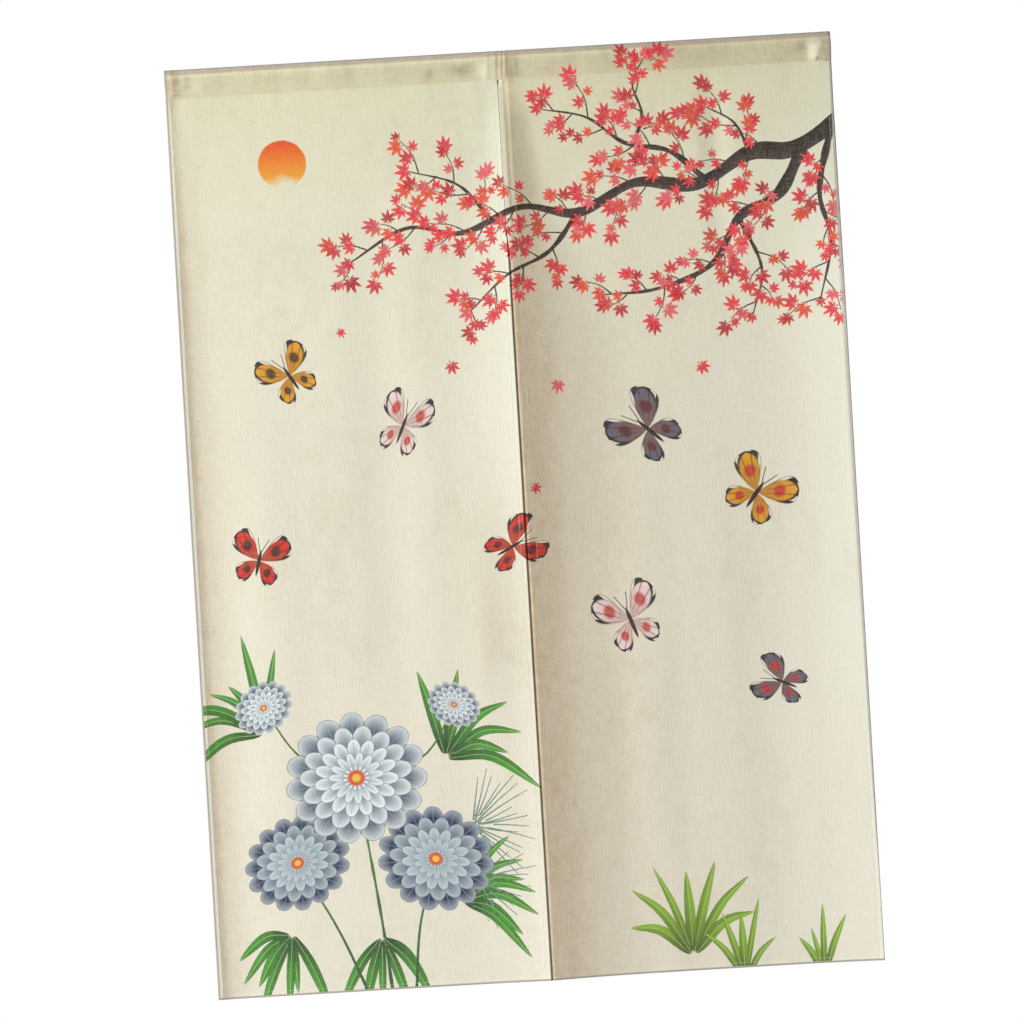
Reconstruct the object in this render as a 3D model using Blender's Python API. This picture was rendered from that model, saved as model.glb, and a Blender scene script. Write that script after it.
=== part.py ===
"""A two-panel noren door curtain: left and right cloth panels sewn together at the top of the
centre slit, and the rod pocket that is folded and stitched across the top of both.

Units are metres. +X is to the viewer's right, +Y away from the viewer, +Z up. The origin is
the middle of the curtain's top edge. Every depth below is measured towards the viewer.
"""

import math

import bmesh
import bpy

# Overall size
WIDTH = 0.860
DROP = 1.200
HALF_WIDTH = WIDTH / 2

# Cloth
CLOTH = 0.0012
HEM_THICKNESS = 0.0024
SIDE_HEM = 0.008
BOTTOM_HEM = 0.012
HEM_STEP = 0.0012
GAP = 0.0003

# Rod pocket, empty and lying nearly flat: its mouth stands more open at the right end
POCKET_HEIGHT = 0.038
POCKET_HALF_DEPTH = 0.0058
POCKET_FULLEST_AT = 0.55
POCKET_SEAM_DEPTH = 0.0030
POCKET_SEAM_HALF_GAP = 0.0003
POCKET_HALF_SIDES = 8
POCKET_STEPS = 24
POCKET_END_SWELL = 0.09
POCKET_WAVE_SWELL = 0.05
POCKET_WAVES = 2.5

# Centre slit: the right panel hangs a little behind the left one, with its edge tucked under
SEAM_LENGTH = 0.220
LEFT_SLIT_X = -0.0015
RIGHT_SLIT_X = -0.0055
RIGHT_SET_BACK = 0.0015
TUCK_RIDGE_X = 0.0020
TUCK_START_X = -0.0012
SEWN_TUCK = 0.0029
FREE_TUCK = 0.0040
TUCK_OPENS_OVER = 0.060

# How the panels hang
FADE_IN = 0.060
SWING_LENGTH = 0.350
FAN_LENGTH = 0.400
LEFT_PLATEAU = 0.0040
LEFT_SLIT_SLOPE = 0.133
LEFT_SLIT_REACH = (0.020, 0.090)
RIGHT_SLIT_SLOPE = 0.187
RIGHT_SLIT_REACH = (0.030, 0.150)
OUTER_EDGES = {"left": (0.0020, 0.040), "right": (0.0080, 0.110)}

# Soft vertical folds: middle x, half width, top and bottom z, and height towards the viewer
FOLD_COLUMNS = ("middle_x", "half_width", "top_z", "bottom_z", "height")
FOLDS = (
    (-0.330, 0.060, -0.30, -1.30, 0.0012),
    (-0.175, 0.055, -0.10, -0.95, -0.0014),
    (-0.060, 0.050, -0.55, -1.30, 0.0010),
    (0.150, 0.050, -0.45, -1.30, 0.0012),
    (0.275, 0.026, 0.02, -0.30, -0.0016),
    (0.300, 0.060, -0.50, -1.30, -0.0012),
)

# Grids of the panels
PLAIN_COLUMNS = 18
TUCK_COLUMNS = 10
ROWS = 26
ROW_GRADING = 1.35

# Cloth colours: the cream ground under the print, and the yellower plain top band
PANEL_COLOUR = (0.80, 0.76, 0.62, 1.0)
POCKET_COLOUR = (0.68, 0.64, 0.45, 1.0)
CLOTH_ROUGHNESS = 0.9


def clear_scene():
    for old in list(bpy.data.objects):
        bpy.data.objects.remove(old, do_unlink=True)


def smooth(value):
    """Rises from 0 to 1 without a corner as value goes from 0 to 1."""
    t = min(max(value, 0.0), 1.0)
    return t * t * (3.0 - 2.0 * t)


def between(ends, share):
    """The value at this share of the way from the first end to the second."""
    return ends[0] + (ends[1] - ends[0]) * share


def below_pocket(z):
    return max(-z - POCKET_HEIGHT, 0.0)


def slit_depth(z):
    """How far forward both panels stand at the slit."""
    drop = below_pocket(z)
    reach = between(LEFT_SLIT_REACH, smooth(drop / FAN_LENGTH))
    plateau = LEFT_PLATEAU * smooth(drop / SWING_LENGTH)
    return smooth(drop / FADE_IN) * (plateau + LEFT_SLIT_SLOPE * reach / 2)


def slit_rise(away, z, slope, reaches):
    """The rise towards the slit's edge, 'away' metres from it: a fan that opens downwards."""
    drop = below_pocket(z)
    reach = between(reaches, smooth(drop / FAN_LENGTH))
    share = max(1.0 - max(away, 0.0) / reach, 0.0)
    return smooth(drop / FADE_IN) * slope * reach / 2 * (share * share - 1.0)


def edge_rise(side, x, z):
    """The outer hem stands a little forward of the cloth beside it."""
    height, reach = OUTER_EDGES[side]
    share = max(1.0 - (HALF_WIDTH - abs(x)) / reach, 0.0)
    return height * share * share * smooth(below_pocket(z) / SWING_LENGTH)


def fold_depth(x, z):
    """The sum of the soft folds at a point."""
    depth = 0.0
    for row in FOLDS:
        fold = dict(zip(FOLD_COLUMNS, row))
        across = (x - fold["middle_x"]) / fold["half_width"]
        along = (fold["top_z"] - z) / (fold["top_z"] - fold["bottom_z"])
        if abs(across) < 1.0 and 0.0 < along < 1.0:
            depth += fold["height"] * (1.0 + math.cos(math.pi * across)) / 2 * math.sin(math.pi * along)
    return depth * smooth(below_pocket(z) / FADE_IN)


def set_back(z):
    """How far the right panel hangs behind the left one."""
    return RIGHT_SET_BACK * smooth(below_pocket(z) / FADE_IN)


def tuck_depth(x, z):
    """How far the right panel's slit edge drops further, to pass behind the left panel's hem."""
    opened = smooth((-z - SEAM_LENGTH) / TUCK_OPENS_OVER)
    depth = between((SEWN_TUCK, FREE_TUCK), opened) - set_back(z)
    return depth * smooth((TUCK_RIDGE_X - x) / (TUCK_RIDGE_X - TUCK_START_X))


def left_depth(x, z):
    away = LEFT_SLIT_X - x
    rise = slit_rise(away, z, LEFT_SLIT_SLOPE, LEFT_SLIT_REACH)
    return slit_depth(z) + rise + edge_rise("left", x, z) + fold_depth(x, z)


def right_depth(x, z):
    away = x - TUCK_RIDGE_X
    rise = slit_rise(away, z, RIGHT_SLIT_SLOPE, RIGHT_SLIT_REACH) - set_back(z) - tuck_depth(x, z)
    return slit_depth(z) + rise + edge_rise("right", x, z) + fold_depth(x, z)


def hem_columns(edge, inwards):
    """Columns of a side hem, from the edge in to the plain cloth."""
    return [edge, edge + inwards * (SIDE_HEM - HEM_STEP), edge + inwards * SIDE_HEM]


def graded_columns(start, end, count):
    """Columns that stand closer together towards both ends."""
    return [start + (end - start) * (1 - math.cos(math.pi * i / count)) / 2 for i in range(1, count)]


def left_columns():
    outer = hem_columns(-HALF_WIDTH, 1)
    inner = hem_columns(LEFT_SLIT_X, -1)[::-1]
    return outer + graded_columns(outer[-1], inner[0], PLAIN_COLUMNS) + inner


def right_columns():
    span = TUCK_RIDGE_X + SIDE_HEM - RIGHT_SLIT_X
    inner = [RIGHT_SLIT_X + span * i / TUCK_COLUMNS for i in range(TUCK_COLUMNS + 1)]
    outer = hem_columns(HALF_WIDTH, -1)[::-1]
    return inner + graded_columns(inner[-1], outer[0], PLAIN_COLUMNS) + outer


def panel_rows():
    """Rows from the pocket's stitching down to the bottom hem."""
    top = -POCKET_HEIGHT - GAP
    hem = -DROP + BOTTOM_HEM
    plain = [top + (hem - top) * (i / ROWS) ** ROW_GRADING for i in range(ROWS + 1)]
    return plain + [hem - HEM_STEP, -DROP]


def in_hem(x, z, slit_x):
    """1 where the cloth is folded into a hem, 0 where it is a single layer."""
    bottom = z < -DROP + BOTTOM_HEM - HEM_STEP / 2
    from_edge = min(abs(HALF_WIDTH - abs(x)), abs(x - slit_x))
    return 1.0 if bottom or from_edge < SIDE_HEM - HEM_STEP / 2 else 0.0


def cloth_material(name, colour):
    material = bpy.data.materials.new(name)
    material.use_nodes = True
    shader = material.node_tree.nodes["Principled BSDF"]
    shader.inputs["Base Color"].default_value = colour
    shader.inputs["Roughness"].default_value = CLOTH_ROUGHNESS
    shader.inputs["Metallic"].default_value = 0.0
    return material


def add_object(name, mesh_builder, colour):
    mesh = bpy.data.meshes.new(name)
    mesh_builder.to_mesh(mesh)
    mesh_builder.free()
    mesh.materials.append(cloth_material(name + "_cloth", colour))
    mesh.shade_smooth()
    made = bpy.data.objects.new(name, mesh)
    bpy.context.scene.collection.objects.link(made)
    return made


def make_panel(name, columns, depth_at, slit_x):
    """One hemmed panel: a grid on the panel's front face, thickened towards the back."""
    rows = panel_rows()
    builder = bmesh.new()
    bmesh.ops.create_grid(builder, x_segments=len(columns) - 1, y_segments=len(rows) - 1, size=0.5)
    builder.verts.ensure_lookup_table()
    hem_shares = []
    for point in builder.verts:
        column = round((point.co.x + 0.5) * (len(columns) - 1))
        row = round((0.5 - point.co.y) * (len(rows) - 1))
        x, z = columns[column], rows[row]
        point.co = (x, -CLOTH - depth_at(x, z), z)
        hem_shares.append(in_hem(x, z, slit_x))
    bmesh.ops.recalc_face_normals(builder, faces=builder.faces)
    builder.normal_update()
    if builder.faces[0].normal.y > 0:
        bmesh.ops.reverse_faces(builder, faces=builder.faces)
    panel = add_object(name, builder, PANEL_COLOUR)
    hems = panel.vertex_groups.new(name="hems")
    for index, share in enumerate(hem_shares):
        hems.add([index], share, "REPLACE")
    layers = panel.modifiers.new("layers", "SOLIDIFY")
    layers.thickness = HEM_THICKNESS
    layers.offset = -1.0
    layers.vertex_group = hems.name
    layers.thickness_vertex_group = CLOTH / HEM_THICKNESS
    return panel


def pocket_outline(bottom, top, half_depth, seam_half_depth):
    """Points round the pocket's section in the YZ plane: a round fold on top, stitched below."""
    fullest = bottom + (top - bottom) * POCKET_FULLEST_AT
    front = []
    for i in range(POCKET_HALF_SIDES):
        z = bottom + (top - bottom) * (1 - math.cos(math.pi * i / POCKET_HALF_SIDES)) / 2
        if z > fullest:
            up = (z - fullest) / (top - fullest)
            y = half_depth * math.sqrt(1 - up * up)
        else:
            y = between((seam_half_depth, half_depth), smooth((z - bottom) / (fullest - bottom)))
        front.append((-y, z))
    return front + [(0.0, top)] + [(-y, z) for y, z in reversed(front)]


def pocket_fullness(x):
    """How full the pocket stands at this place along it, as a share of its plain depth."""
    waves = math.sin(2 * math.pi * POCKET_WAVES * x / WIDTH)
    return 1 + POCKET_END_SWELL * x / HALF_WIDTH + POCKET_WAVE_SWELL * waves


def make_rod_pocket():
    """The rod pocket: a flattened tube across both panels, open at both ends."""
    bottom = -POCKET_HEIGHT
    outer = pocket_outline(bottom, 0.0, POCKET_HALF_DEPTH, CLOTH)
    inner = pocket_outline(
        bottom + POCKET_SEAM_DEPTH, -CLOTH, POCKET_HALF_DEPTH - CLOTH, POCKET_SEAM_HALF_GAP
    )
    builder = bmesh.new()
    loops = []
    for outline in (outer, inner):
        points = [builder.verts.new((-HALF_WIDTH, y, z)) for y, z in outline]
        loops += [builder.edges.new((a, b)) for a, b in zip(points, points[1:] + points[:1])]
    end_wall = bmesh.ops.bridge_loops(builder, edges=loops)["faces"]
    rim = end_wall
    for step in range(POCKET_STEPS):
        made = bmesh.ops.extrude_face_region(builder, geom=rim)["geom"]
        corners = [item for item in made if isinstance(item, bmesh.types.BMVert)]
        bmesh.ops.translate(builder, vec=(WIDTH / POCKET_STEPS, 0, 0), verts=corners)
        if step > 0:
            bmesh.ops.delete(builder, geom=rim, context="FACES_ONLY")
        rim = [item for item in made if isinstance(item, bmesh.types.BMFace)]
    for point in builder.verts:
        point.co.y *= pocket_fullness(point.co.x)
    bmesh.ops.recalc_face_normals(builder, faces=builder.faces)
    return add_object("rod_pocket", builder, POCKET_COLOUR)


def main():
    clear_scene()
    make_panel("left_panel", left_columns(), left_depth, LEFT_SLIT_X)
    make_panel("right_panel", right_columns(), right_depth, RIGHT_SLIT_X)
    make_rod_pocket()


main()
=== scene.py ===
"""A printed noren: two cloth panels sewn together at the top of the centre slit, under a rod pocket.

Units are metres. +X is to the viewer's right, +Y away from the viewer, +Z up, and the origin is
the middle of the top edge. A depth is measured towards the viewer.
"""

import math

import bmesh
import bpy
import numpy as np
from bpy.props import FloatProperty, FloatVectorProperty, IntProperty, PointerProperty
from mathutils import Matrix, Vector, noise


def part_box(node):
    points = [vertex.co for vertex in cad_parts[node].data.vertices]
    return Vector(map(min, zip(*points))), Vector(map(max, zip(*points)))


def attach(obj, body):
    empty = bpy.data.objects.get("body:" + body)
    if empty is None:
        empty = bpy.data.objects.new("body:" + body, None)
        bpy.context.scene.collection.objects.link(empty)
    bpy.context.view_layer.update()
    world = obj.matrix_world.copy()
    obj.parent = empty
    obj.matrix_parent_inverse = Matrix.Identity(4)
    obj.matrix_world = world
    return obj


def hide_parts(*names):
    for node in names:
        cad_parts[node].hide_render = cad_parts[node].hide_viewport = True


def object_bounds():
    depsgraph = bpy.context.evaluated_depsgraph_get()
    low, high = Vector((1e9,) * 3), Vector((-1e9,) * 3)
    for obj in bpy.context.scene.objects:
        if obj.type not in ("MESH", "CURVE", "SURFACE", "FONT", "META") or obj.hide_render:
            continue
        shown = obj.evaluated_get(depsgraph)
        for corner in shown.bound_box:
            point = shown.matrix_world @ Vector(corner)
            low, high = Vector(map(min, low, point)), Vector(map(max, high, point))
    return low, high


bl_info = {
    "name": "Printed Noren",
    "version": (1, 0, 0),
    "blender": (4, 5, 0),
    "location": "View3D > Sidebar > Noren",
    "description": "Makes the printed cloth of a split door curtain, its stitching and its stage",
    "category": "Add Mesh",
}

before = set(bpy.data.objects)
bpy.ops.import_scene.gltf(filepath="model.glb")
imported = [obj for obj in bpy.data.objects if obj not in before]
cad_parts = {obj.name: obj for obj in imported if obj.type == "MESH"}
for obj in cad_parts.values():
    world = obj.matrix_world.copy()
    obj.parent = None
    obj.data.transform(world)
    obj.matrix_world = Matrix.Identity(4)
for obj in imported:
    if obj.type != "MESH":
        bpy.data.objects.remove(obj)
CAD_BOX = [[float(number) for number in corner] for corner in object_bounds()]
POCKET_LOW, POCKET_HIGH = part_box("rod_pocket")
HALF_WIDTH = float(POCKET_HIGH[0])
WIDTH = 2 * HALF_WIDTH
POCKET_HEIGHT = float(-POCKET_LOW[2])
DROP = -CAD_BOX[0][2]

# The cloth and how it hangs, as the solids do
CLOTH = 0.0012
HEM_THICKNESS = 0.0024
SIDE_HEM = 0.008
BOTTOM_HEM = 0.012
SEAM_OVERLAP = 0.0010
SEAM_INSET = 0.0003
SEAM_LENGTH = 0.220
LEFT_SLIT_X = -0.0015
RIGHT_SLIT_X = -0.0055
RIGHT_SET_BACK = 0.0015
TUCK_RIDGE_X = 0.0042
TUCK_START_X = -0.0018
SEWN_TUCK = 0.0029
FREE_TUCK = 0.0021
TUCK_OPENS_OVER = 0.060
FADE_IN = 0.060
SWING_LENGTH = 0.350
FAN_LENGTH = 0.400
LEFT_PLATEAU = 0.0040
LEFT_SLIT_SLOPE = 0.133
LEFT_SLIT_REACH = (0.020, 0.090)
RIGHT_SLIT_SLOPE = 0.187
RIGHT_SLIT_REACH = (0.030, 0.150)
OUTER_EDGES = {"left": (0.0020, 0.040), "right": (0.0080, 0.110)}

# Soft vertical folds: middle x, half width, top and bottom z, and height towards the viewer
FOLD_COLUMNS = ("middle_x", "half_width", "top_z", "bottom_z", "height")
FOLDS = (
    (-0.330, 0.060, -0.30, -1.30, 0.0012),
    (-0.175, 0.055, -0.10, -0.95, -0.0014),
    (-0.060, 0.050, -0.55, -1.30, 0.0010),
    (0.150, 0.050, -0.45, -1.30, 0.0012),
    (0.275, 0.026, 0.02, -0.30, -0.0016),
    (0.300, 0.060, -0.50, -1.30, -0.0012),
)

# Small relief that the sewing leaves in the cloth
HEM_STITCH_AT = 0.0065
HEM_GROOVE_HALF_WIDTH = 0.0012
HEM_RIM = 0.0066
HEM_RIM_FALL = 0.0042
HEM_PUCKER_REACH = 0.013
HEM_PUCKER_LENGTH = 0.011

# For the outer edge, the slit's edge and the bottom edge: groove, how proud the rim is, and puckers
HEM_RELIEF = {
    "left": ((0.00012, 0.00095, 0.00016), (0.0, 0.0, 0.00008), (0.00008, 0.0001, 0.00012)),
    "right": ((0.00010, 0.0, 0.00016), (0.0, 0.0, 0.00010), (0.00008, 0.0001, 0.00012)),
}

# Where the panels are sewn together, the right one comes up beside the left one's edge
JOIN_RISE_X = (-0.00148, -0.0010)
JOIN_STEP = 0.0001
JOIN_FLAT_TO = 0.0046
JOIN_RIDGE = (0.0076, 0.0128, 0.00065)
JOIN_FADES_BY = 0.045
JOIN_ROLL = 0.25

# Below the sewn part the right panel stands a little forward beside the slit: from x, over x, height
FREE_LIFT = (0.0002, 0.030, 0.0001)

# Below the sewn part the slit's edges lie a little further to the right
SLIT_SHIFT = 0.0011
SLIT_SHIFT_REACH = 0.060
EDGE_ROLL = 0.0011
EDGE_ROLL_DEPTH = 0.0006
SEAM_PUCKER = 0.00030
SEAM_PUCKER_REACH = 0.030
SEAM_PUCKER_LENGTH = 0.012
SOFT_WAVES = (("height", 0.0007), ("across", 0.110), ("along", 0.230))
SMALL_WAVES = (("height", 0.00012), ("across", 0.028), ("along", 0.060))
SLIT_HOLLOW = {"left": 0.075, "right": 0.160, "top_z": -0.46, "bottom_z": -1.02, "depth": 0.0028}
TURNED_EDGE = 0.0054
TURNED_EDGE_SLOPE = 0.20
TURNED_EDGE_FADES_BY = 0.90
TURNED_EDGE_WIDENS_OVER = 0.28

# Rod pocket
POCKET_FULLEST_AT = 0.55
POCKET_HALF_DEPTH = 0.0058
POCKET_SEAM_DEPTH = 0.0030
POCKET_SEAM_HALF_GAP = 0.0003
POCKET_END_SWELL = 0.09
POCKET_WAVE_SWELL = 0.05
POCKET_WAVES = 2.5

# Inks of the print, as seen on screen
INKS = {
    "bark": (0.17, 0.13, 0.12),
    "twig": (0.30, 0.15, 0.15),
    "leaf_red": (0.96, 0.17, 0.25),
    "leaf_deep": (0.80, 0.05, 0.15),
    "leaf_pink": (1.00, 0.42, 0.45),
    "leaf_orange": (0.97, 0.33, 0.19),
    "grass": (0.53, 0.69, 0.18),
    "grass_dark": (0.36, 0.44, 0.16),
    "bamboo": (0.28, 0.58, 0.20),
    "bamboo_dark": (0.15, 0.32, 0.17),
    "sage": (0.44, 0.55, 0.49),
    "gold": (0.93, 0.68, 0.20),
    "orange": (0.92, 0.36, 0.12),
    "petal_white": (0.90, 0.92, 0.92),
    "petal_grey": (0.74, 0.78, 0.80),
    "wing_gold": (0.89, 0.62, 0.12),
    "wing_red": (0.84, 0.18, 0.16),
    "wing_slate": (0.40, 0.38, 0.44),
    "wing_pale": (0.94, 0.84, 0.82),
}


def smooth(value):
    """Rises from 0 to 1 without a corner as value goes from 0 to 1."""
    t = np.clip(value, 0.0, 1.0)
    return t * t * (3.0 - 2.0 * t)


def between(ends, share):
    """The value at this share of the way from the first end to the second."""
    return ends[0] + (ends[1] - ends[0]) * share


def bell(offset, half_width):
    return np.exp(-((offset / half_width) ** 2))


def uneven(x, z, across, along, seed):
    """Smooth unevenness from -1 to 1 over the cloth, with lumps of this size."""
    return np.array([noise.noise(Vector((a / across, b / along, seed))) for a, b in zip(x, z)])


def below_pocket(z):
    return np.maximum(-z - POCKET_HEIGHT, 0.0)


def slit_depth(z):
    """How far forward both panels stand at the slit."""
    drop = below_pocket(z)
    reach = between(LEFT_SLIT_REACH, smooth(drop / FAN_LENGTH))
    plateau = LEFT_PLATEAU * smooth(drop / SWING_LENGTH)
    return smooth(drop / FADE_IN) * (plateau + LEFT_SLIT_SLOPE * reach / 2)


def slit_rise(away, z, slope, reaches):
    """The rise towards the slit's edge, 'away' metres from it: a fan that opens downwards."""
    drop = below_pocket(z)
    reach = between(reaches, smooth(drop / FAN_LENGTH))
    share = np.maximum(1.0 - np.maximum(away, 0.0) / reach, 0.0)
    return smooth(drop / FADE_IN) * slope * reach / 2 * (share * share - 1.0)


def edge_rise(side, x, z):
    """The outer hem stands a little forward of the cloth beside it."""
    height, reach = OUTER_EDGES[side]
    share = np.maximum(1.0 - (HALF_WIDTH - np.abs(x)) / reach, 0.0)
    return height * share * share * smooth(below_pocket(z) / SWING_LENGTH)


def fold_depth(x, z):
    """The sum of the soft folds at each point."""
    depth = np.zeros_like(x)
    for row in FOLDS:
        fold = dict(zip(FOLD_COLUMNS, row))
        across = np.clip((x - fold["middle_x"]) / fold["half_width"], -1, 1)
        along = np.clip((fold["top_z"] - z) / (fold["top_z"] - fold["bottom_z"]), 0, 1)
        depth += fold["height"] * (1 + np.cos(math.pi * across)) / 2 * np.sin(math.pi * along)
    return depth * smooth(below_pocket(z) / FADE_IN)


def set_back(z):
    """How far the right panel hangs behind the left one."""
    return RIGHT_SET_BACK * smooth(below_pocket(z) / FADE_IN)


def slit_opened(z):
    """0 where the panels are sewn together and 1 where they hang free."""
    return smooth((-z - SEAM_LENGTH) / TUCK_OPENS_OVER)


def slit_shift(x, z):
    """How far the cloth about the slit lies to the right of its sewn place."""
    return SLIT_SHIFT * slit_opened(z) * (1 - smooth(np.abs(x) / SLIT_SHIFT_REACH))


def tuck_depth(x, z):
    """How far the right panel's slit edge drops further, to pass behind the left panel's hem."""
    depth = between((SEWN_TUCK, FREE_TUCK), slit_opened(z)) - set_back(z)
    return depth * smooth((TUCK_RIDGE_X - x) / (TUCK_RIDGE_X - TUCK_START_X))


def hung_depth(side, x, z):
    """The depth of a panel's front as it hangs, without its small relief."""
    if side == "left":
        rise = slit_rise(LEFT_SLIT_X - x, z, LEFT_SLIT_SLOPE, LEFT_SLIT_REACH)
    else:
        rise = slit_rise(x - TUCK_RIDGE_X, z, RIGHT_SLIT_SLOPE, RIGHT_SLIT_REACH)
        rise -= set_back(z) + tuck_depth(x, z)
    return slit_depth(z) + rise + edge_rise(side, x, z) + fold_depth(x, z)


def slit_x(side):
    return LEFT_SLIT_X if side == "left" else RIGHT_SLIT_X


def edge_distances(side, x, z):
    """How far each point is from the outer edge, the slit's edge and the bottom edge."""
    return HALF_WIDTH - np.abs(x), np.abs(x - slit_x(side)), z + DROP


def turned_strip(x, z):
    """How wide the right edge's turned strip is at this height: it widens, then fades out."""
    left = 1 - (-z / (DROP * TURNED_EDGE_FADES_BY)) ** 3
    return TURNED_EDGE * np.sqrt(np.clip(left, 0.0, 1.0)) * between((0.6, 1.0), smooth(-z / TURNED_EDGE_WIDENS_OVER))


def sewn_relief(side, x, z):
    """The grooves, raised bands and puckers of the hems, and the puckers under the pocket's seam."""
    relief = np.zeros_like(x)
    sewn = (1 - slit_opened(z)) * smooth(below_pocket(z) / 0.004)
    for number, away in enumerate(edge_distances(side, x, z)):
        groove, proud, pucker = HEM_RELIEF[side][number]
        run = x if number == 2 else z
        ripple = uneven(run, np.zeros_like(run), HEM_PUCKER_LENGTH, 1.0, 3.1 + number + slit_x(side))
        relief -= groove * bell(away - HEM_STITCH_AT, HEM_GROOVE_HALF_WIDTH)
        relief += proud * np.exp(-np.maximum(away - HEM_RIM, 0.0) / HEM_RIM_FALL)
        relief += pucker * ripple * bell(away - HEM_STITCH_AT, HEM_PUCKER_REACH)
        roll = 1 - (1 - JOIN_ROLL) * sewn if number == 1 else 1.0
        relief -= EDGE_ROLL_DEPTH * roll * np.maximum(1 - away / EDGE_ROLL, 0.0) ** 2
    if side == "right":
        start, end = JOIN_RISE_X
        flat = np.clip(x - TUCK_RIDGE_X, 0, JOIN_FLAT_TO - TUCK_RIDGE_X) * smooth(below_pocket(z) / FADE_IN)
        step_start, step_end, height = JOIN_RIDGE
        lift = set_back(z) + tuck_depth(x, z) - JOIN_STEP + RIGHT_SLIT_SLOPE * flat
        lift += height * smooth((x - step_start) / (step_end - step_start))
        relief += sewn * lift * (1 - smooth(x / JOIN_FADES_BY)) * smooth((x - start) / (end - start))
        start, over, height = FREE_LIFT
        relief += height * slit_opened(z) * smooth((x - start) / 0.0025) * (1 - smooth(x / over))
    ripple = uneven(x, z, SEAM_PUCKER_LENGTH, 0.2, 7.7)
    relief += SEAM_PUCKER * ripple * np.exp(-below_pocket(z) / SEAM_PUCKER_REACH)
    if side == "right":
        strip = turned_strip(x, z)
        relief -= TURNED_EDGE_SLOPE * np.maximum(strip - (HALF_WIDTH - x), 0.0)
    return relief


def slit_hollow(x, z):
    """The slit's edges lie a little further back half way down, and the cloth leads up to them."""
    half_width = np.where(x < LEFT_SLIT_X, SLIT_HOLLOW["left"], SLIT_HOLLOW["right"])
    across = np.clip((x - LEFT_SLIT_X) / half_width, -1, 1)
    along = np.clip((SLIT_HOLLOW["top_z"] - z) / (SLIT_HOLLOW["top_z"] - SLIT_HOLLOW["bottom_z"]), 0, 1)
    return SLIT_HOLLOW["depth"] * (1 + np.cos(math.pi * across)) / 2 * np.sin(math.pi * along) ** 2


def wave_relief(x, z):
    """Slow unevenness of the hanging cloth."""
    relief = -slit_hollow(x, z)
    for seed, row in enumerate((SOFT_WAVES, SMALL_WAVES)):
        wave = dict(row)
        relief += wave["height"] * uneven(x, z, wave["across"], wave["along"], 11.3 + seed)
    return relief * smooth(below_pocket(z) / FADE_IN)


def front_depth(side, x, z):
    into_seam = SEAM_INSET * (1 - smooth(below_pocket(z) / 0.0035))
    return CLOTH - into_seam + hung_depth(side, x, z) + sewn_relief(side, x, z) + wave_relief(x, z)


def thickness_at(side, x, z):
    """Two layers in the hems and one elsewhere, thinner at the very edge, which is a fold."""
    outer, slit, bottom = edge_distances(side, x, z)
    nearest = np.minimum(np.minimum(outer, slit), bottom * SIDE_HEM / BOTTOM_HEM)
    hem = 1 - smooth((nearest - SIDE_HEM + 0.001) / 0.001)
    fold = np.maximum(1 - np.minimum(np.minimum(outer, slit), bottom) / EDGE_ROLL, 0.0) ** 2
    return CLOTH + (HEM_THICKNESS - CLOTH) * hem - 0.0009 * fold


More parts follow.
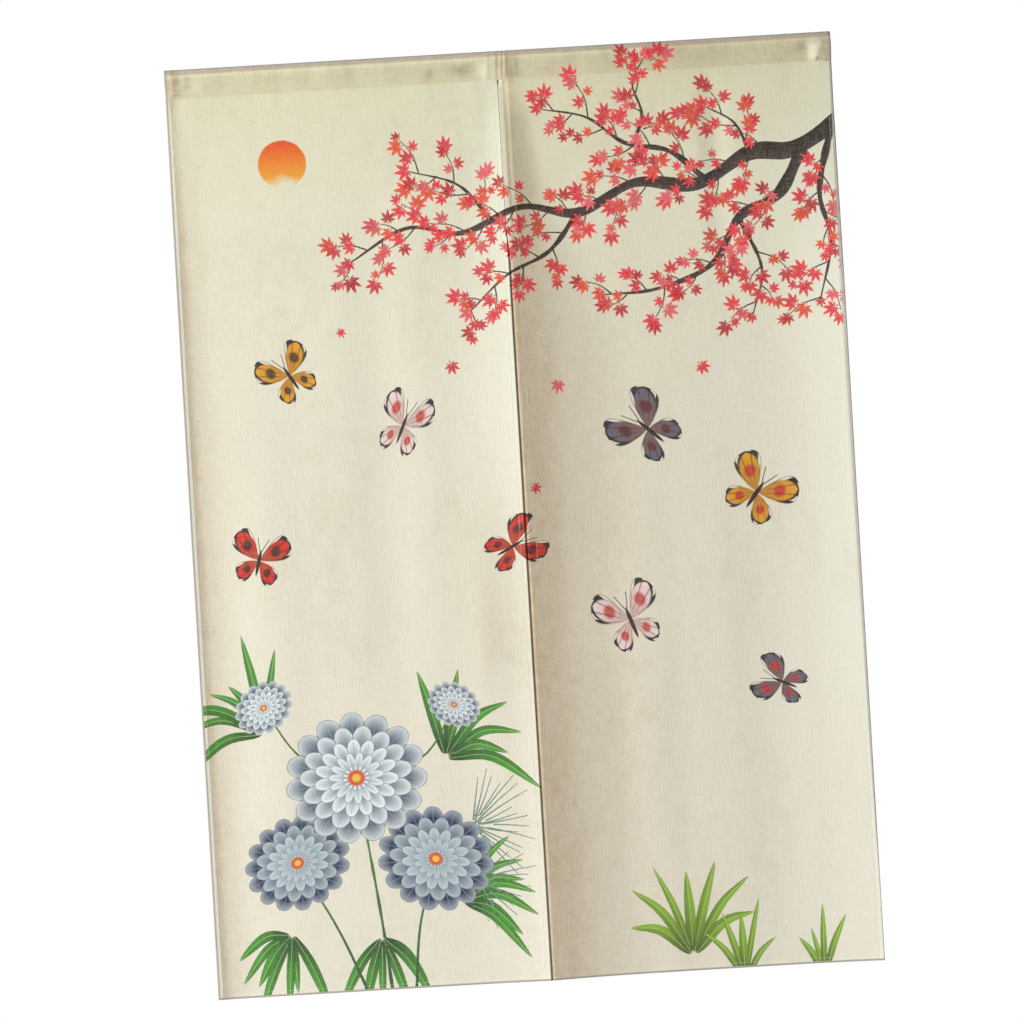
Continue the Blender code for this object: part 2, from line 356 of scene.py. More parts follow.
class Print:
    """The printed design's coordinates on one piece.

    Each face holds a few slots of each kind of motif. A slot's values are coordinates in the
    motif's own frame, which the cloth's material turns into a shape, and its ink is a colour.
    """

    PANEL = {"stroke": 3, "disc": 1, "bloom": 2, "leaf": 3, "wing": 1}
    POCKET = {"stroke": 1, "leaf": 2}

    def __init__(self, mesh, places, printed, slots):
        corners = np.empty(len(mesh.loops), np.int32)
        mesh.loops.foreach_get("vertex_index", corners)
        self.mesh = mesh
        self.at = places[corners].reshape(-1, 4, 2)
        self.printed = printed
        self.middle = self.at.mean(axis=1)
        self.cell = np.linalg.norm(self.at - self.middle[:, None], axis=2).max(axis=1)
        faces = len(self.at)
        self.values, self.inks, self.slack = {}, {}, {}
        for kind, count in slots.items():
            nowhere = (0.0, 9.0, 0.0) if kind == "stroke" else (9.0, 9.0, 0.0)
            self.values[kind] = np.tile(np.array(nowhere, np.float32), (count, faces, 4, 1))
            self.inks[kind] = np.zeros((count, faces, 4, 4), np.float32)
            self.slack[kind] = np.full((faces, count), np.inf)

    def near(self, low, high, margin):
        """The printed faces that reach into this box."""
        room = margin + self.cell[:, None]
        hit = ((self.middle > low - room) & (self.middle < high + room)).all(axis=1)
        return np.nonzero(hit & self.printed)[0]

    def put(self, kind, faces, values, inks, slack):
        """Gives a motif the first free slot of each face, or that of the motif farthest from it."""
        held = self.slack[kind][faces]
        slot = held.argmax(axis=1)
        wins = held[np.arange(len(faces)), slot] > slack
        faces, slot = faces[wins], slot[wins]
        self.values[kind][slot, faces] = values[wins]
        self.inks[kind][slot, faces] = inks[wins]
        self.slack[kind][faces, slot] = slack[wins]

    def stroke(self, line, widths, inks):
        """A brush stroke along a line of points, with a half width and an ink at each point."""
        faces = self.near(line.min(axis=0), line.max(axis=0), widths.max())
        if not len(faces):
            return
        at = self.at[faces].reshape(-1, 1, 2)
        run = line[1:] - line[:-1]
        length = np.maximum(np.linalg.norm(run, axis=1), 1e-9)
        offset = at - line[None, :-1]
        reached = (offset * run).sum(axis=2) / length**2
        apart = offset - np.clip(reached, 0, 1)[..., None] * run
        distance = np.linalg.norm(apart, axis=2)
        nearest = distance.argmin(axis=1)
        pick = np.arange(len(nearest)), nearest
        offset, apart, distance, reached = offset[pick], apart[pick], distance[pick], reached[pick]
        share = np.clip(reached, 0, 1)
        run, length_here = run[nearest], length[nearest]
        past = np.where(nearest == 0, np.maximum(-reached, 0), 0)
        past = (past + np.where(nearest == len(length) - 1, np.maximum(reached - 1, 0), 0)) * length_here
        turn = (run[:, 0] * offset[:, 1] - run[:, 1] * offset[:, 0]) / length_here
        across = np.where(past > 0, turn, np.copysign(distance, turn))
        before = np.concatenate([[0.0], np.cumsum(length)])
        along = before[nearest] + share * length_here
        width = widths[nearest] + share * (widths[nearest + 1] - widths[nearest]) - past
        ink = inks[nearest] + share[:, None] * (inks[nearest + 1] - inks[nearest])
        values = np.stack([along, across, width], axis=1).reshape(-1, 4, 3)
        slack = (distance - width).reshape(-1, 4).min(axis=1)
        wanted = slack < self.cell[faces]
        self.put("stroke", faces[wanted], values[wanted], ink.reshape(-1, 4, 4)[wanted], slack[wanted])

    def motif(self, kind, centre, radius, turn, ink, code=0.0, squash=(1.0, 1.0)):
        """A leaf, bloom, disc or butterfly: its own frame has +Y towards its tip and a radius of 1."""
        if kind not in self.values:
            return
        centre = np.array(centre, float)
        faces = self.near(centre, centre, radius)
        if not len(faces):
            return
        offset = self.at[faces] - centre
        x = (offset[..., 0] * math.cos(turn) + offset[..., 1] * math.sin(turn)) / radius / squash[0]
        y = (offset[..., 1] * math.cos(turn) - offset[..., 0] * math.sin(turn)) / radius / squash[1]
        values = np.stack([x, y, np.full_like(x, code)], axis=2)
        reach = np.hypot(x, y).min(axis=1)
        wanted = reach < 1.0 + self.cell[faces] / radius
        inks = np.broadcast_to(np.array(ink, np.float32), (len(faces), 4, 4))
        self.put(kind, faces[wanted], values[wanted], inks[wanted], reach[wanted])

    def write(self):
        """Stores every slot as attributes of the mesh's corners."""
        for kind, slots in self.values.items():
            for slot in range(len(slots)):
                values = self.mesh.attributes.new(f"{kind}_{slot}", "FLOAT_VECTOR", "CORNER")
                values.data.foreach_set("vector", self.values[kind][slot].ravel())
                inks = self.mesh.attributes.new(f"{kind}_ink_{slot}", "FLOAT_COLOR", "CORNER")
                inks.data.foreach_set("color", self.inks[kind][slot].ravel())


def ink(name, alpha=0.0, shade=1.0):
    """An ink in linear light. Alpha tells the material how a stroke's inside is drawn."""
    seen = np.clip(np.array(INKS[name]) * shade, 0, 1)
    linear = np.where(seen <= 0.04045, seen / 12.92, ((seen + 0.055) / 1.055) ** 2.4)
    return np.array([*linear, alpha], np.float32)


def curve_through(points, step=0.003):
    """A smooth line through given points, with points of its own about a step apart."""
    points = np.array(points, float)
    padded = np.vstack([2 * points[0] - points[1], points, 2 * points[-1] - points[-2]])
    line = [points[0]]
    for before, start, end, after in zip(padded, padded[1:], padded[2:], padded[3:]):
        count = max(int(np.linalg.norm(end - start) / step), 2)
        for i in range(1, count + 1):
            t = i / count
            line.append(
                0.5
                * (
                    2 * start
                    + (end - before) * t
                    + (2 * before - 5 * start + 4 * end - after) * t * t
                    + (3 * start - before - 3 * end + after) * t**3
                )
            )
    return np.array(line)


def shares_along(line):
    """How far along the line each of its points is, from 0 to 1."""
    lengths = np.concatenate([[0.0], np.cumsum(np.linalg.norm(np.diff(line, axis=0), axis=1))])
    return lengths / lengths[-1]


GRAIN, PLAIN, RIBBED = 0.0, 0.5, 1.0


def draw_branch(prints, line, half_widths, start_ink="bark", end_ink="twig"):
    """A bough or twig that tapers, with knots along it."""
    share = shares_along(line)
    knots = 1 + 0.16 * np.sin(37 * share + 5 * line[:, 0] / WIDTH) * (half_widths[0] > 0.002)
    widths = between(half_widths, share**0.8) * knots
    inks = between((ink(start_ink, GRAIN), ink(end_ink, GRAIN)), (share**1.5)[:, None])
    for piece in prints:
        piece.stroke(line, widths, inks)


def draw_blade(prints, line, half_width, dark, light):
    """A pointed leaf blade with a rib down its middle."""
    share = shares_along(line)
    widths = half_width * 1.75 * (share + 0.03) ** 0.55 * (1 - share) ** 0.8
    inks = between((ink(dark, RIBBED), ink(light, RIBBED)), smooth(share * 1.6)[:, None])
    for piece in prints:
        piece.stroke(line, widths, inks)


def heading_of(direction):
    """The turn that points a motif's tip this way."""
    return math.atan2(direction[1], direction[0]) - math.pi / 2


def turned(direction, angle):
    c, s = math.cos(angle), math.sin(angle)
    return np.array([direction[0] * c - direction[1] * s, direction[0] * s + direction[1] * c])


# Maple boughs: thickness at both ends, and points from the trunk to the tip
BOUGH_COLUMNS = ("half_widths", "points")
BOUGHS = (
    ((0.0125, 0.0012), ((0.440, -0.112), (0.375, -0.148), (0.318, -0.150), (0.248, -0.186), (0.168, -0.180),
                        (0.092, -0.214), (0.020, -0.203), (-0.058, -0.232), (-0.130, -0.222), (-0.205, -0.262))),
    ((0.0090, 0.0010), ((0.385, -0.150), (0.352, -0.205), (0.300, -0.232), (0.262, -0.290), (0.190, -0.318),
                        (0.118, -0.322))),
    ((0.0048, 0.0008), ((0.262, -0.184), (0.215, -0.142), (0.158, -0.128), (0.110, -0.092), (0.050, -0.078))),
    ((0.0055, 0.0009), ((0.424, -0.125), (0.405, -0.205), (0.416, -0.270), (0.398, -0.345))),
    ((0.0040, 0.0008), ((0.092, -0.214), (0.052, -0.262), (-0.005, -0.290), (-0.055, -0.335))),
    ((0.0034, 0.0008), ((0.300, -0.235), (0.325, -0.300), (0.310, -0.360))),
    ((0.0030, 0.0007), ((-0.020, -0.218), (-0.060, -0.170), (-0.125, -0.148))),
    ((0.0028, 0.0007), ((0.168, -0.132), (0.182, -0.092), (0.172, -0.052), (0.190, -0.018))),
    ((0.0026, 0.0007), ((0.318, -0.150), (0.300, -0.110), (0.262, -0.086))),
)
TWIG_SPACING = 0.023
TWIG_LENGTHS = (0.022, 0.054)
TWIG_HALF_WIDTHS = (0.0011, 0.0005)
LEAF_RADII = (0.0105, 0.0185)
LEAF_INKS = ("leaf_red", "leaf_red", "leaf_pink", "leaf_deep", "leaf_red", "leaf_orange")
FALLING_LEAVES = ((0.055, -0.425), (-0.085, -0.395), (0.235, -0.415), (-0.225, -0.345), (0.010, -0.560))


def draw_leaf(prints, draw, base, direction):
    """One maple leaf on its stalk."""
    radius = draw.uniform(*LEAF_RADII)
    colour = LEAF_INKS[draw.integers(len(LEAF_INKS))]
    way = turned(direction, draw.uniform(-0.5, 0.5))
    centre = base + way * radius * 0.45
    draw_branch(prints, np.array([base, (base + centre) / 2, centre]), (0.0006, 0.0004), "twig", "leaf_deep")
    lean = (draw.uniform(0.78, 1.0), 1.0)
    for piece in prints:
        piece.motif("leaf", centre, radius, heading_of(way), ink(colour, shade=draw.uniform(0.9, 1.06)), squash=lean)


def draw_maple(prints):
    """Boughs from the upper right, with twigs and red leaves, and a few leaves falling."""
    draw = np.random.default_rng(18)
    boughs = [dict(zip(BOUGH_COLUMNS, row)) for row in BOUGHS]
    lines = [curve_through(bough["points"]) for bough in boughs]
    for bough, line in zip(boughs, lines):
        draw_branch(prints, line, bough["half_widths"])
    for line in lines:
        length = np.linalg.norm(np.diff(line, axis=0), axis=1).sum()
        share = shares_along(line)
        side = 1
        for at in np.arange(0.16, 1.0, TWIG_SPACING / length):
            i = min(int(np.searchsorted(share, at)), len(line) - 2)
            way = (line[i + 1] - line[i]) / np.linalg.norm(line[i + 1] - line[i])
            side = -side
            out = turned(way, side * draw.uniform(0.6, 1.15))
            reach = draw.uniform(*TWIG_LENGTHS)
            bend = turned(out, -side * 0.35)
            tip = line[i] + out * reach * 0.5 + bend * reach * 0.5
            twig = curve_through([line[i], line[i] + out * reach * 0.5, tip], 0.002)
            draw_branch(prints, twig, TWIG_HALF_WIDTHS, "bark", "twig")
            draw_leaf(prints, draw, tip, bend)
            for step in (0.35, 0.6, 0.85):
                base = twig[int(step * (len(twig) - 1))]
                side = -side
                draw_leaf(prints, draw, base, turned(out, side * draw.uniform(0.5, 1.2)))
            side = -side
        draw_leaf(prints, draw, line[-1], line[-1] - line[-3])
    for place in FALLING_LEAVES:
        draw_leaf(prints, draw, np.array(place), turned(np.array([1.0, 0.0]), draw.uniform(-2.6, -0.5)))


# A low sun in mist
SUN = (-0.285, -0.130)
SUN_RADIUS = 0.031

# Clumps of blades: root x and z, number, first and last angle in degrees, length, half width, inks
CLUMP_COLUMNS = ("x", "z", "count", "angles", "length", "half_width", "dark", "light")
CLUMPS = (
    (0.185, -1.180, 7, (28, 158), 0.125, 0.0088, "grass_dark", "grass"),
    (0.250, -1.215, 5, (50, 128), 0.110, 0.0068, "grass_dark", "grass"),
    (0.352, -1.215, 4, (62, 124), 0.090, 0.0060, "grass_dark", "grass"),
    (-0.350, -0.860, 7, (75, 205), 0.125, 0.0090, "bamboo_dark", "bamboo"),
    (-0.120, -0.905, 7, (-20, 112), 0.120, 0.0090, "bamboo_dark", "bamboo"),
    (-0.110, -1.090, 7, (-48, 62), 0.120, 0.0100, "bamboo_dark", "bamboo"),
    (-0.330, -1.120, 7, (190, 300), 0.110, 0.0095, "bamboo_dark", "bamboo"),
    (-0.215, -1.130, 6, (225, 330), 0.105, 0.0085, "bamboo_dark", "bamboo"),
)
SPRAY_COLUMNS = ("x", "z", "count", "angles", "length")
SPRAYS = (
    (-0.090, -0.995, 17, (-55, 85), 0.080),
    (-0.088, -1.065, 15, (-85, 42), 0.072),
)

# Blooms: middle x and z, radius, height over width, turn in degrees, and how dark the outer petals are
BLOOM_COLUMNS = ("x", "z", "radius", "lean", "turn", "dark_rim", "ink")
BLOOMS = (
    (-0.318, -1.030, 0.070, 0.86, 25, 1.0, "petal_grey"),
    (-0.140, -1.035, 0.076, 0.88, -20, 1.0, "petal_grey"),
    (-0.236, -0.925, 0.092, 0.92, 8, 0.6, "petal_white"),
    (-0.350, -0.828, 0.040, 0.80, 35, 0.7, "petal_white"),
    (-0.105, -0.838, 0.036, 0.78, -30, 0.7, "petal_white"),
)
STEM_COLUMNS = ("half_widths", "points")
STEMS = (
    ((0.0022, 0.0014), ((-0.205, -1.205), (-0.215, -1.100), (-0.236, -0.930))),
    ((0.0020, 0.0012), ((-0.235, -1.205), (-0.270, -1.120), (-0.318, -1.030))),
    ((0.0020, 0.0012), ((-0.175, -1.205), (-0.165, -1.120), (-0.140, -1.035))),
    ((0.0016, 0.0010), ((-0.250, -0.930), (-0.310, -0.890), (-0.350, -0.828))),
    ((0.0016, 0.0010), ((-0.200, -0.930), (-0.140, -0.895), (-0.105, -0.838))),
)

# Butterflies: middle x and z, half span, turn in degrees, how far the left wings are folded, marks, ink
BUTTERFLY_COLUMNS = ("x", "z", "span", "turn", "fold", "marks", "ink")
BUTTERFLIES = (
    (-0.290, -0.405, 0.052, 32, 0.80, 0.0, "wing_gold"),
    (-0.150, -0.478, 0.060, -24, 0.62, 1.0, "wing_pale"),
    (0.168, -0.500, 0.066, 48, 0.72, 0.2, "wing_slate"),
    (0.300, -0.590, 0.058, -38, 0.90, 1.0, "wing_gold"),
    (-0.020, -0.640, 0.056, -62, 0.66, 0.1, "wing_red"),
    (0.130, -0.745, 0.062, 20, 0.78, 1.0, "wing_pale"),
    (0.322, -0.835, 0.050, 66, 0.70, 1.0, "wing_slate"),
    (-0.345, -0.640, 0.050, -15, 0.85, 0.0, "wing_red"),
)


def draw_clump(prints, draw, clump):
    """Blades that spread from one root."""
    first, last = (math.radians(angle) for angle in clump["angles"])
    root = np.array([clump["x"], clump["z"]])
    order = draw.permutation(clump["count"])
    for i in order:
        angle = between((first, last), (i + draw.uniform(0.15, 0.85)) / clump["count"])
        length = clump["length"] * draw.uniform(0.65, 1.1)
        way = np.array([math.cos(angle), math.sin(angle)])
        droop = np.array([0.0, -0.16 * length * abs(way[0])])
        tip = root + way * length + droop
        middle = root + way * length * 0.5 - droop * 0.6
        line = curve_through([root + way * 0.006, middle, tip])
        draw_blade(prints, line, clump["half_width"] * draw.uniform(0.75, 1.1), clump["dark"], clump["light"])


def draw_spray(prints, draw, spray):
    """Thin needles that spread from one root."""
    root = np.array([spray["x"], spray["z"]])
    for i in range(spray["count"]):
        angle = math.radians(between(spray["angles"], (i + draw.uniform(0.2, 0.8)) / spray["count"]))
        tip = root + np.array([math.cos(angle), math.sin(angle)]) * spray["length"] * draw.uniform(0.7, 1.1)
        line = curve_through([root, (root + tip) / 2 + draw.uniform(-0.002, 0.002, 2), tip])
        for piece in prints:
            piece.stroke(line, between((0.0012, 0.0005), shares_along(line)), np.tile(ink("sage", PLAIN), (len(line), 1)))


def draw_design(prints):
    """The whole design over all the printed pieces."""
    draw = np.random.default_rng(7)
    for row in SPRAYS:
        draw_spray(prints, draw, dict(zip(SPRAY_COLUMNS, row)))
    for row in CLUMPS:
        draw_clump(prints, draw, dict(zip(CLUMP_COLUMNS, row)))
    for row in STEMS:
        stem = dict(zip(STEM_COLUMNS, row))
        draw_branch(prints, curve_through(stem["points"]), stem["half_widths"], "bamboo_dark", "bamboo")
    for row in BLOOMS:
        bloom = dict(zip(BLOOM_COLUMNS, row))
        for piece in prints:
            piece.motif(
                "bloom", (bloom["x"], bloom["z"]), bloom["radius"], math.radians(bloom["turn"]),
                ink(bloom["ink"]), bloom["dark_rim"], (1.0, bloom["lean"]),
            )
    for piece in prints:
        piece.motif("disc", SUN, SUN_RADIUS, 0.0, ink("gold"))
    draw_maple(prints)
    for row in BUTTERFLIES:
        insect = dict(zip(BUTTERFLY_COLUMNS, row))
        for piece in prints:
            piece.motif(
                "wing", (insect["x"], insect["z"]), insect["span"], math.radians(insect["turn"]),
                ink(insect["ink"]), insect["marks"], (insect["fold"], 1.0),
            )


class Value:
    """A number that varies over the cloth. Arithmetic on it adds Math nodes."""

    def __init__(self, tree, socket):
        self.tree = tree
        self.socket = socket

    def math(self, operation, *others, clamp=False):
        return self.chain(operation, (self, *others), clamp)

    def chain(self, operation, terms, clamp=False):
        node = self.tree.nodes.new("ShaderNodeMath")
        node.operation = operation
        node.use_clamp = clamp
        for slot, term in zip(node.inputs, terms):
            if isinstance(term, Value):
                self.tree.links.new(term.socket, slot)
            else:
                slot.default_value = term
        return Value(self.tree, node.outputs[0])

    def __add__(self, other):
        return self.chain("ADD", (self, other))

    def __radd__(self, other):
        return self.chain("ADD", (other, self))

    def __sub__(self, other):
        return self.chain("SUBTRACT", (self, other))

    def __rsub__(self, other):
        return self.chain("SUBTRACT", (other, self))

    def __mul__(self, other):
        return self.chain("MULTIPLY", (self, other))

    def __rmul__(self, other):
        return self.chain("MULTIPLY", (other, self))

    def __truediv__(self, other):
        return self.chain("DIVIDE", (self, other))

    def __pow__(self, other):
        return self.chain("POWER", (self, other))

    def __abs__(self):
        return self.chain("ABSOLUTE", (self,))

    def __gt__(self, other):
        return self.chain("GREATER_THAN", (self, other))

    def __lt__(self, other):
        return self.chain("LESS_THAN", (self, other))

    def above_zero(self, softness):
        """1 where the value is above zero and 0 below, with an edge this soft."""
        return self.chain("MULTIPLY_ADD", (self, 1 / softness, 0.5), clamp=True)

    def output(self, name):
        """Another output of the same node."""
        return Value(self.tree, self.socket.node.outputs[name])


class Look:
    """One material, with the methods that add its nodes."""

    def __init__(self, name, roughness, sheen):
        self.material = bpy.data.materials.new(name)
        self.material.use_nodes = True
        self.tree = self.material.node_tree
        self.shader = self.tree.nodes["Principled BSDF"]
        self.shader.inputs["Roughness"].default_value = roughness
        self.shader.inputs["Sheen Weight"].default_value = sheen
        self.shader.inputs["Specular IOR Level"].default_value = 0.25

    def add(self, kind, settings=None, inputs=None, output=0):
        """Any node: its settings are set first, then the values or links of its sockets."""
        node = self.tree.nodes.new(kind)
        for name, value in (settings or {}).items():
            if name == "stops":
                self.set_stops(node.color_ramp, value)
            else:
                setattr(node, name, value)
        for name, value in (inputs or {}).items():
            if isinstance(value, Value):
                self.tree.links.new(value.socket, node.inputs[name])
            else:
                node.inputs[name].default_value = value
        return Value(self.tree, node.outputs[output])

    def set_stops(self, ramp, stops):
        while len(ramp.elements) < len(stops):
            ramp.elements.new(1.0)
        for element, (depth, colour) in zip(ramp.elements, stops):
            element.position = depth / stops[-1][0]
            element.color = (*colour, 1)

    def attribute(self, name, output="Vector"):
        return self.add("ShaderNodeAttribute", {"attribute_name": name}, output=output)

    def parts(self, vector):
        first = self.add("ShaderNodeSeparateXYZ", inputs={"Vector": vector})
        return first, first.output("Y"), first.output("Z")

    def mix(self, share, below, above, blend="MIX"):
        """The second colour over the first, by a share from 0 to 1."""
        return self.add(
            "ShaderNodeMix", {"data_type": "RGBA", "blend_type": blend}, {0: share, 6: below, 7: above}, output=2
        )

    def speckle(self, where, scale, detail=2.0, rough=0.5):
        """Noise from 0 to 1, with its own scale along each axis."""
        placed = self.add("ShaderNodeVectorMath", {"operation": "MULTIPLY"}, {0: where, 1: scale})
        return self.add(
            "ShaderNodeTexNoise", inputs={"Vector": placed, "Scale": 1.0, "Detail": detail, "Roughness": rough}
        )

    def finish(self, colour, height, strength, distance):
        self.tree.links.new(colour.socket, self.shader.inputs["Base Color"])
        bump = self.add("ShaderNodeBump", inputs={"Strength": strength, "Distance": distance, "Height": height})
        self.tree.links.new(bump.socket, self.shader.inputs["Normal"])
        return self.material


LOBE_ANGLE = 0.70
PETALS = 15
RINGS = 5.0


def leaf_on(look, ground, slot, grain):
    """A seven-lobed leaf with toothed edges and pale veins, over the ground."""
    x, y, _ = look.parts(look.attribute(f"leaf_{slot}"))
    radius = (x * x + y * y) ** 0.5
    angle = x.math("ARCTAN2", y)
    lobe = (angle / LOBE_ANGLE).math("ROUND")
    off = angle - lobe * LOBE_ANGLE
    length = 1 - lobe * lobe * 0.055
    along = radius * off.math("COSINE") / length
    across = abs(radius * off.math("SINE"))
    teeth = 1 - (along * 7).math("FRACT") * 0.22 + (grain - 0.5) * 0.5
    width = length * (1 - along) * (0.10 + along * 0.50) * teeth
    mask = (width - across).above_zero(0.035)
    vein = (0.016 - across).above_zero(0.02)
    ink_here = look.attribute(f"leaf_ink_{slot}", "Color")
    toned = look.mix((0.9 - along * 0.9 + grain * 0.5) * 0.42, ink_here, (0.28, 0.004, 0.016, 1))
    veined = look.mix(vein * 0.40, toned, (0.98, 0.50, 0.42, 1))
    return look.mix(mask, ground, veined)


def stroke_on(look, ground, slot, grain):
    """A brush stroke: grainy on boughs, ribbed on blades and plain on mist and needles."""
    _, across, width = look.parts(look.attribute(f"stroke_{slot}"))
    away = abs(across)
    mask = (width + (grain - 0.5) * 0.0009 - away).above_zero(0.0006)
    ink_here = look.attribute(f"stroke_ink_{slot}", "Color")
    way = ink_here.output("Alpha")
    dry = (grain * 2.4 - 1.0 + across / width * 0.45).math("MULTIPLY", 0.75, clamp=True)
    aged = look.mix((way < 0.25) * dry, ink_here, (0.125, 0.092, 0.080, 1))
    rib = (way > 0.75) * ((0.0004 - away).above_zero(0.0005) * 0.5)
    shade = (way > 0.75) * (across > 0) * 0.32
    shaded = look.mix(shade + (away / width) ** 4 * 0.25, aged, (0.03, 0.06, 0.02, 1))
    ribbed = look.mix(rib, shaded, (0.62, 0.72, 0.30, 1))
    return look.mix(mask, ground, ribbed)


def bloom_on(look, ground, slot, grain):
    """A many-petalled bloom: rings of petals, each over the ring outside it."""
    x, y, dark = look.parts(look.attribute(f"bloom_{slot}"))
    rings = (x * x + y * y) ** 0.5 * RINGS
    turn = y.math("ARCTAN2", x) * (PETALS / (2 * math.pi))
    ring = rings.math("FLOOR")

    def petal(number):
        """Where a point lies across its petal of this ring, and where that petal's tip is."""
        across = (turn + number * 0.5).math("FRACT") - 0.5
        return across, number + 1 - abs(across * 2) ** 2.2 * 0.75

    across, tip = petal(ring)
    number = ring + (rings > tip)
    across, tip = petal(number)
    depth = tip - rings
    mask = (RINGS - 0.02 - rings).above_zero(0.06) * (number < RINGS - 0.5)
    outline = (0.075 - depth).above_zero(0.05).math("MAXIMUM", (abs(across) * 1.0 - 0.46).above_zero(0.03))
    rib = (0.028 - abs(across)).above_zero(0.03) * (depth > 0.25)
    ink_here = look.attribute(f"bloom_ink_{slot}", "Color")
    base = look.mix((depth * 0.85 + grain * 0.3 - 0.25).math("MULTIPLY", 1.0, clamp=True), ink_here, (0.26, 0.34, 0.37, 1))
    outer = dark * (number / RINGS - 0.45).math("MULTIPLY", 3.2, clamp=True)
    navy = look.mix(outer * (0.35 + depth * 0.6), base, (0.022, 0.030, 0.085, 1))
    ribbed = look.mix(rib * 0.4, navy, (0.30, 0.36, 0.42, 1))
    lined = look.mix(outline * 0.62, ribbed, (0.075, 0.095, 0.13, 1))
    heart = look.mix((0.62 - rings).above_zero(0.2), lined, (0.62, 0.09, 0.03, 1))
    core = look.mix((0.30 - rings).above_zero(0.15), heart, (0.85, 0.50, 0.06, 1))
    return look.mix(mask, ground, core)


def wing_on(look, ground, slot, grain):
    """A butterfly with open wings: dark borders, veins and spots, and a slim body."""
    x, y, marks = look.parts(look.attribute(f"wing_{slot}"))
    side = abs(x)
    ink_here = look.attribute(f"wing_ink_{slot}", "Color")

    def wing(root, angle, length, spread, tail):
        """How far inside one wing a point is, and how far along the wing it is."""
        right, up = side - root[0], y - root[1]
        c, s = math.cos(math.radians(angle)), math.sin(math.radians(angle))
        along = (right * c + up * s) / length
        across = (up * c - right * s) / length
        width = spread * along.math("MAXIMUM", 0.0001) ** 0.75 * (1 - along.math("MINIMUM", 1.0) ** tail) ** 0.5
        outside = (abs(along - 0.5) - 0.5).math("MAXIMUM", 0.0)
        return width - abs(across) - outside * 2, along, across

    fore, fore_along, fore_across = wing((0.03, 0.06), 36, 0.98, 0.46, 5)
    hind, hind_along, hind_across = wing((0.03, 0.02), -42, 0.72, 0.52, 4)
    on_fore = fore > 0
    along = hind_along + (fore_along - hind_along) * on_fore
    across = hind_across + (fore_across - hind_across) * on_fore
    inner = hind + (fore - hind) * on_fore
    mask = fore.math("MAXIMUM", hind).above_zero(0.03)
    border = (0.105 - inner + (along - 0.72) * 0.35).above_zero(0.05)
    fan = across.math("ARCTAN2", along + 0.12)
    vein = (0.09 - abs((fan * 4.2).math("FRACT") - 0.5)).above_zero(0.08) * (along > 0.2)
    dots = ((fan * 22).math("SINE") - 0.25).above_zero(0.3) * (0.034 - abs(inner - 0.045)).above_zero(0.02)
    patch = (0.022 - ((along - 0.52) ** 2 + across * across)).above_zero(0.02)
    marked = look.mix(marks, (0.02, 0.015, 0.02, 1), (0.56, 0.020, 0.025, 1))
    toned = look.mix((0.9 - along * 1.2 + grain * 0.5).math("MULTIPLY", 0.5, clamp=True), ink_here, (0.25, 0.09, 0.03, 1))
    spotted = look.mix(patch * 0.85, toned, marked)
    veined = look.mix(vein * 0.55, spotted, (0.035, 0.022, 0.020, 1))
    bordered = look.mix(border, veined, (0.030, 0.022, 0.026, 1))
    dotted = look.mix(dots * border * 0.9, bordered, (0.86, 0.78, 0.62, 1))
    winged = look.mix(mask, ground, dotted)
    body = (1 - (side / 0.055) ** 2 - ((y + 0.02) / 0.34) ** 2).above_zero(0.4)
    feeler = (0.012 - abs(side - 0.03 - (y - 0.28) * 0.42)).above_zero(0.012) * (y > 0.28) * (y < 0.62)
    return look.mix(body.math("MAXIMUM", feeler), winged, (0.030, 0.020, 0.020, 1))


def disc_on(look, ground, slot, grain):
    """A sun that goes from gold to orange and fades into mist below."""
    x, y, _ = look.parts(look.attribute(f"disc_{slot}"))
    round_edge = (1 + (grain - 0.5) * 0.06 - (x * x + y * y) ** 0.5).above_zero(0.05)
    mist = (y * 2.2 + 1.75 + (x * 5 + y * 3).math("SINE") * 0.25 + grain * 0.5).math("MULTIPLY", 1.0, clamp=True)
    ink_here = look.attribute(f"disc_ink_{slot}", "Color")
    toned = look.mix((y * 0.55 + 0.5 + grain * 0.1).math("MULTIPLY", 1.0, clamp=True), ink_here, (0.78, 0.085, 0.012, 1))
    return look.mix(round_edge * mist, ground, toned)


# The cloth's colour, by how far below the top edge it is: on the panels and on the pocket
PANEL_STOPS = (
    (0.036, (0.712, 0.682, 0.476)),
    (0.060, (0.720, 0.698, 0.490)),
    (0.192, (0.758, 0.730, 0.557)),
    (0.480, (0.760, 0.718, 0.580)),
    (0.960, (0.748, 0.706, 0.581)),
    (1.200, (0.742, 0.706, 0.584)),
)
# On the pocket, the top stops are painted shade on the rounded top, partly the cloth's turned-over side, then a painted
# dark line and a painted highlight along the crease below it; the stops below are darker than the panels', painted
# shade of the pocket's face
POCKET_STOPS = (
    (0.0000, (0.600, 0.530, 0.470)),
    (0.0018, (0.560, 0.475, 0.400)),
    (0.0026, (0.545, 0.458, 0.380)),
    (0.0038, (0.590, 0.482, 0.384)),
    (0.0050, (0.530, 0.430, 0.310)),
    (0.0063, (0.550, 0.440, 0.305)),
    (0.0076, (0.690, 0.580, 0.392)),
    (0.0088, (0.785, 0.705, 0.470)),
    (0.0102, (0.775, 0.710, 0.470)),
    (0.0116, (0.700, 0.659, 0.420)),
    (0.0129, (0.655, 0.616, 0.390)),
    (0.0154, (0.636, 0.582, 0.374)),
    (0.0200, (0.596, 0.545, 0.349)),
    (0.0250, (0.588, 0.540, 0.347)),
    (0.0310, (0.605, 0.556, 0.354)),
    (0.0380, (0.625, 0.570, 0.366)),
)
REVERSE_COLOUR = (0.66, 0.60, 0.52, 1)
DULL_AND_SHADE_COLOUR = (0.33, 0.225, 0.13, 1)
SOIL_AND_SHADE_COLOUR = (0.49, 0.275, 0.11, 1)
PALE_PANEL = (0.83, 0.82, 0.71, 1)
PALE_POCKET = (0.81, 0.78, 0.55, 1)
OUTLINE_COLOUR = (0.40, 0.355, 0.31, 1)
GHOST = 0.20
THREAD_PITCH = 0.0013


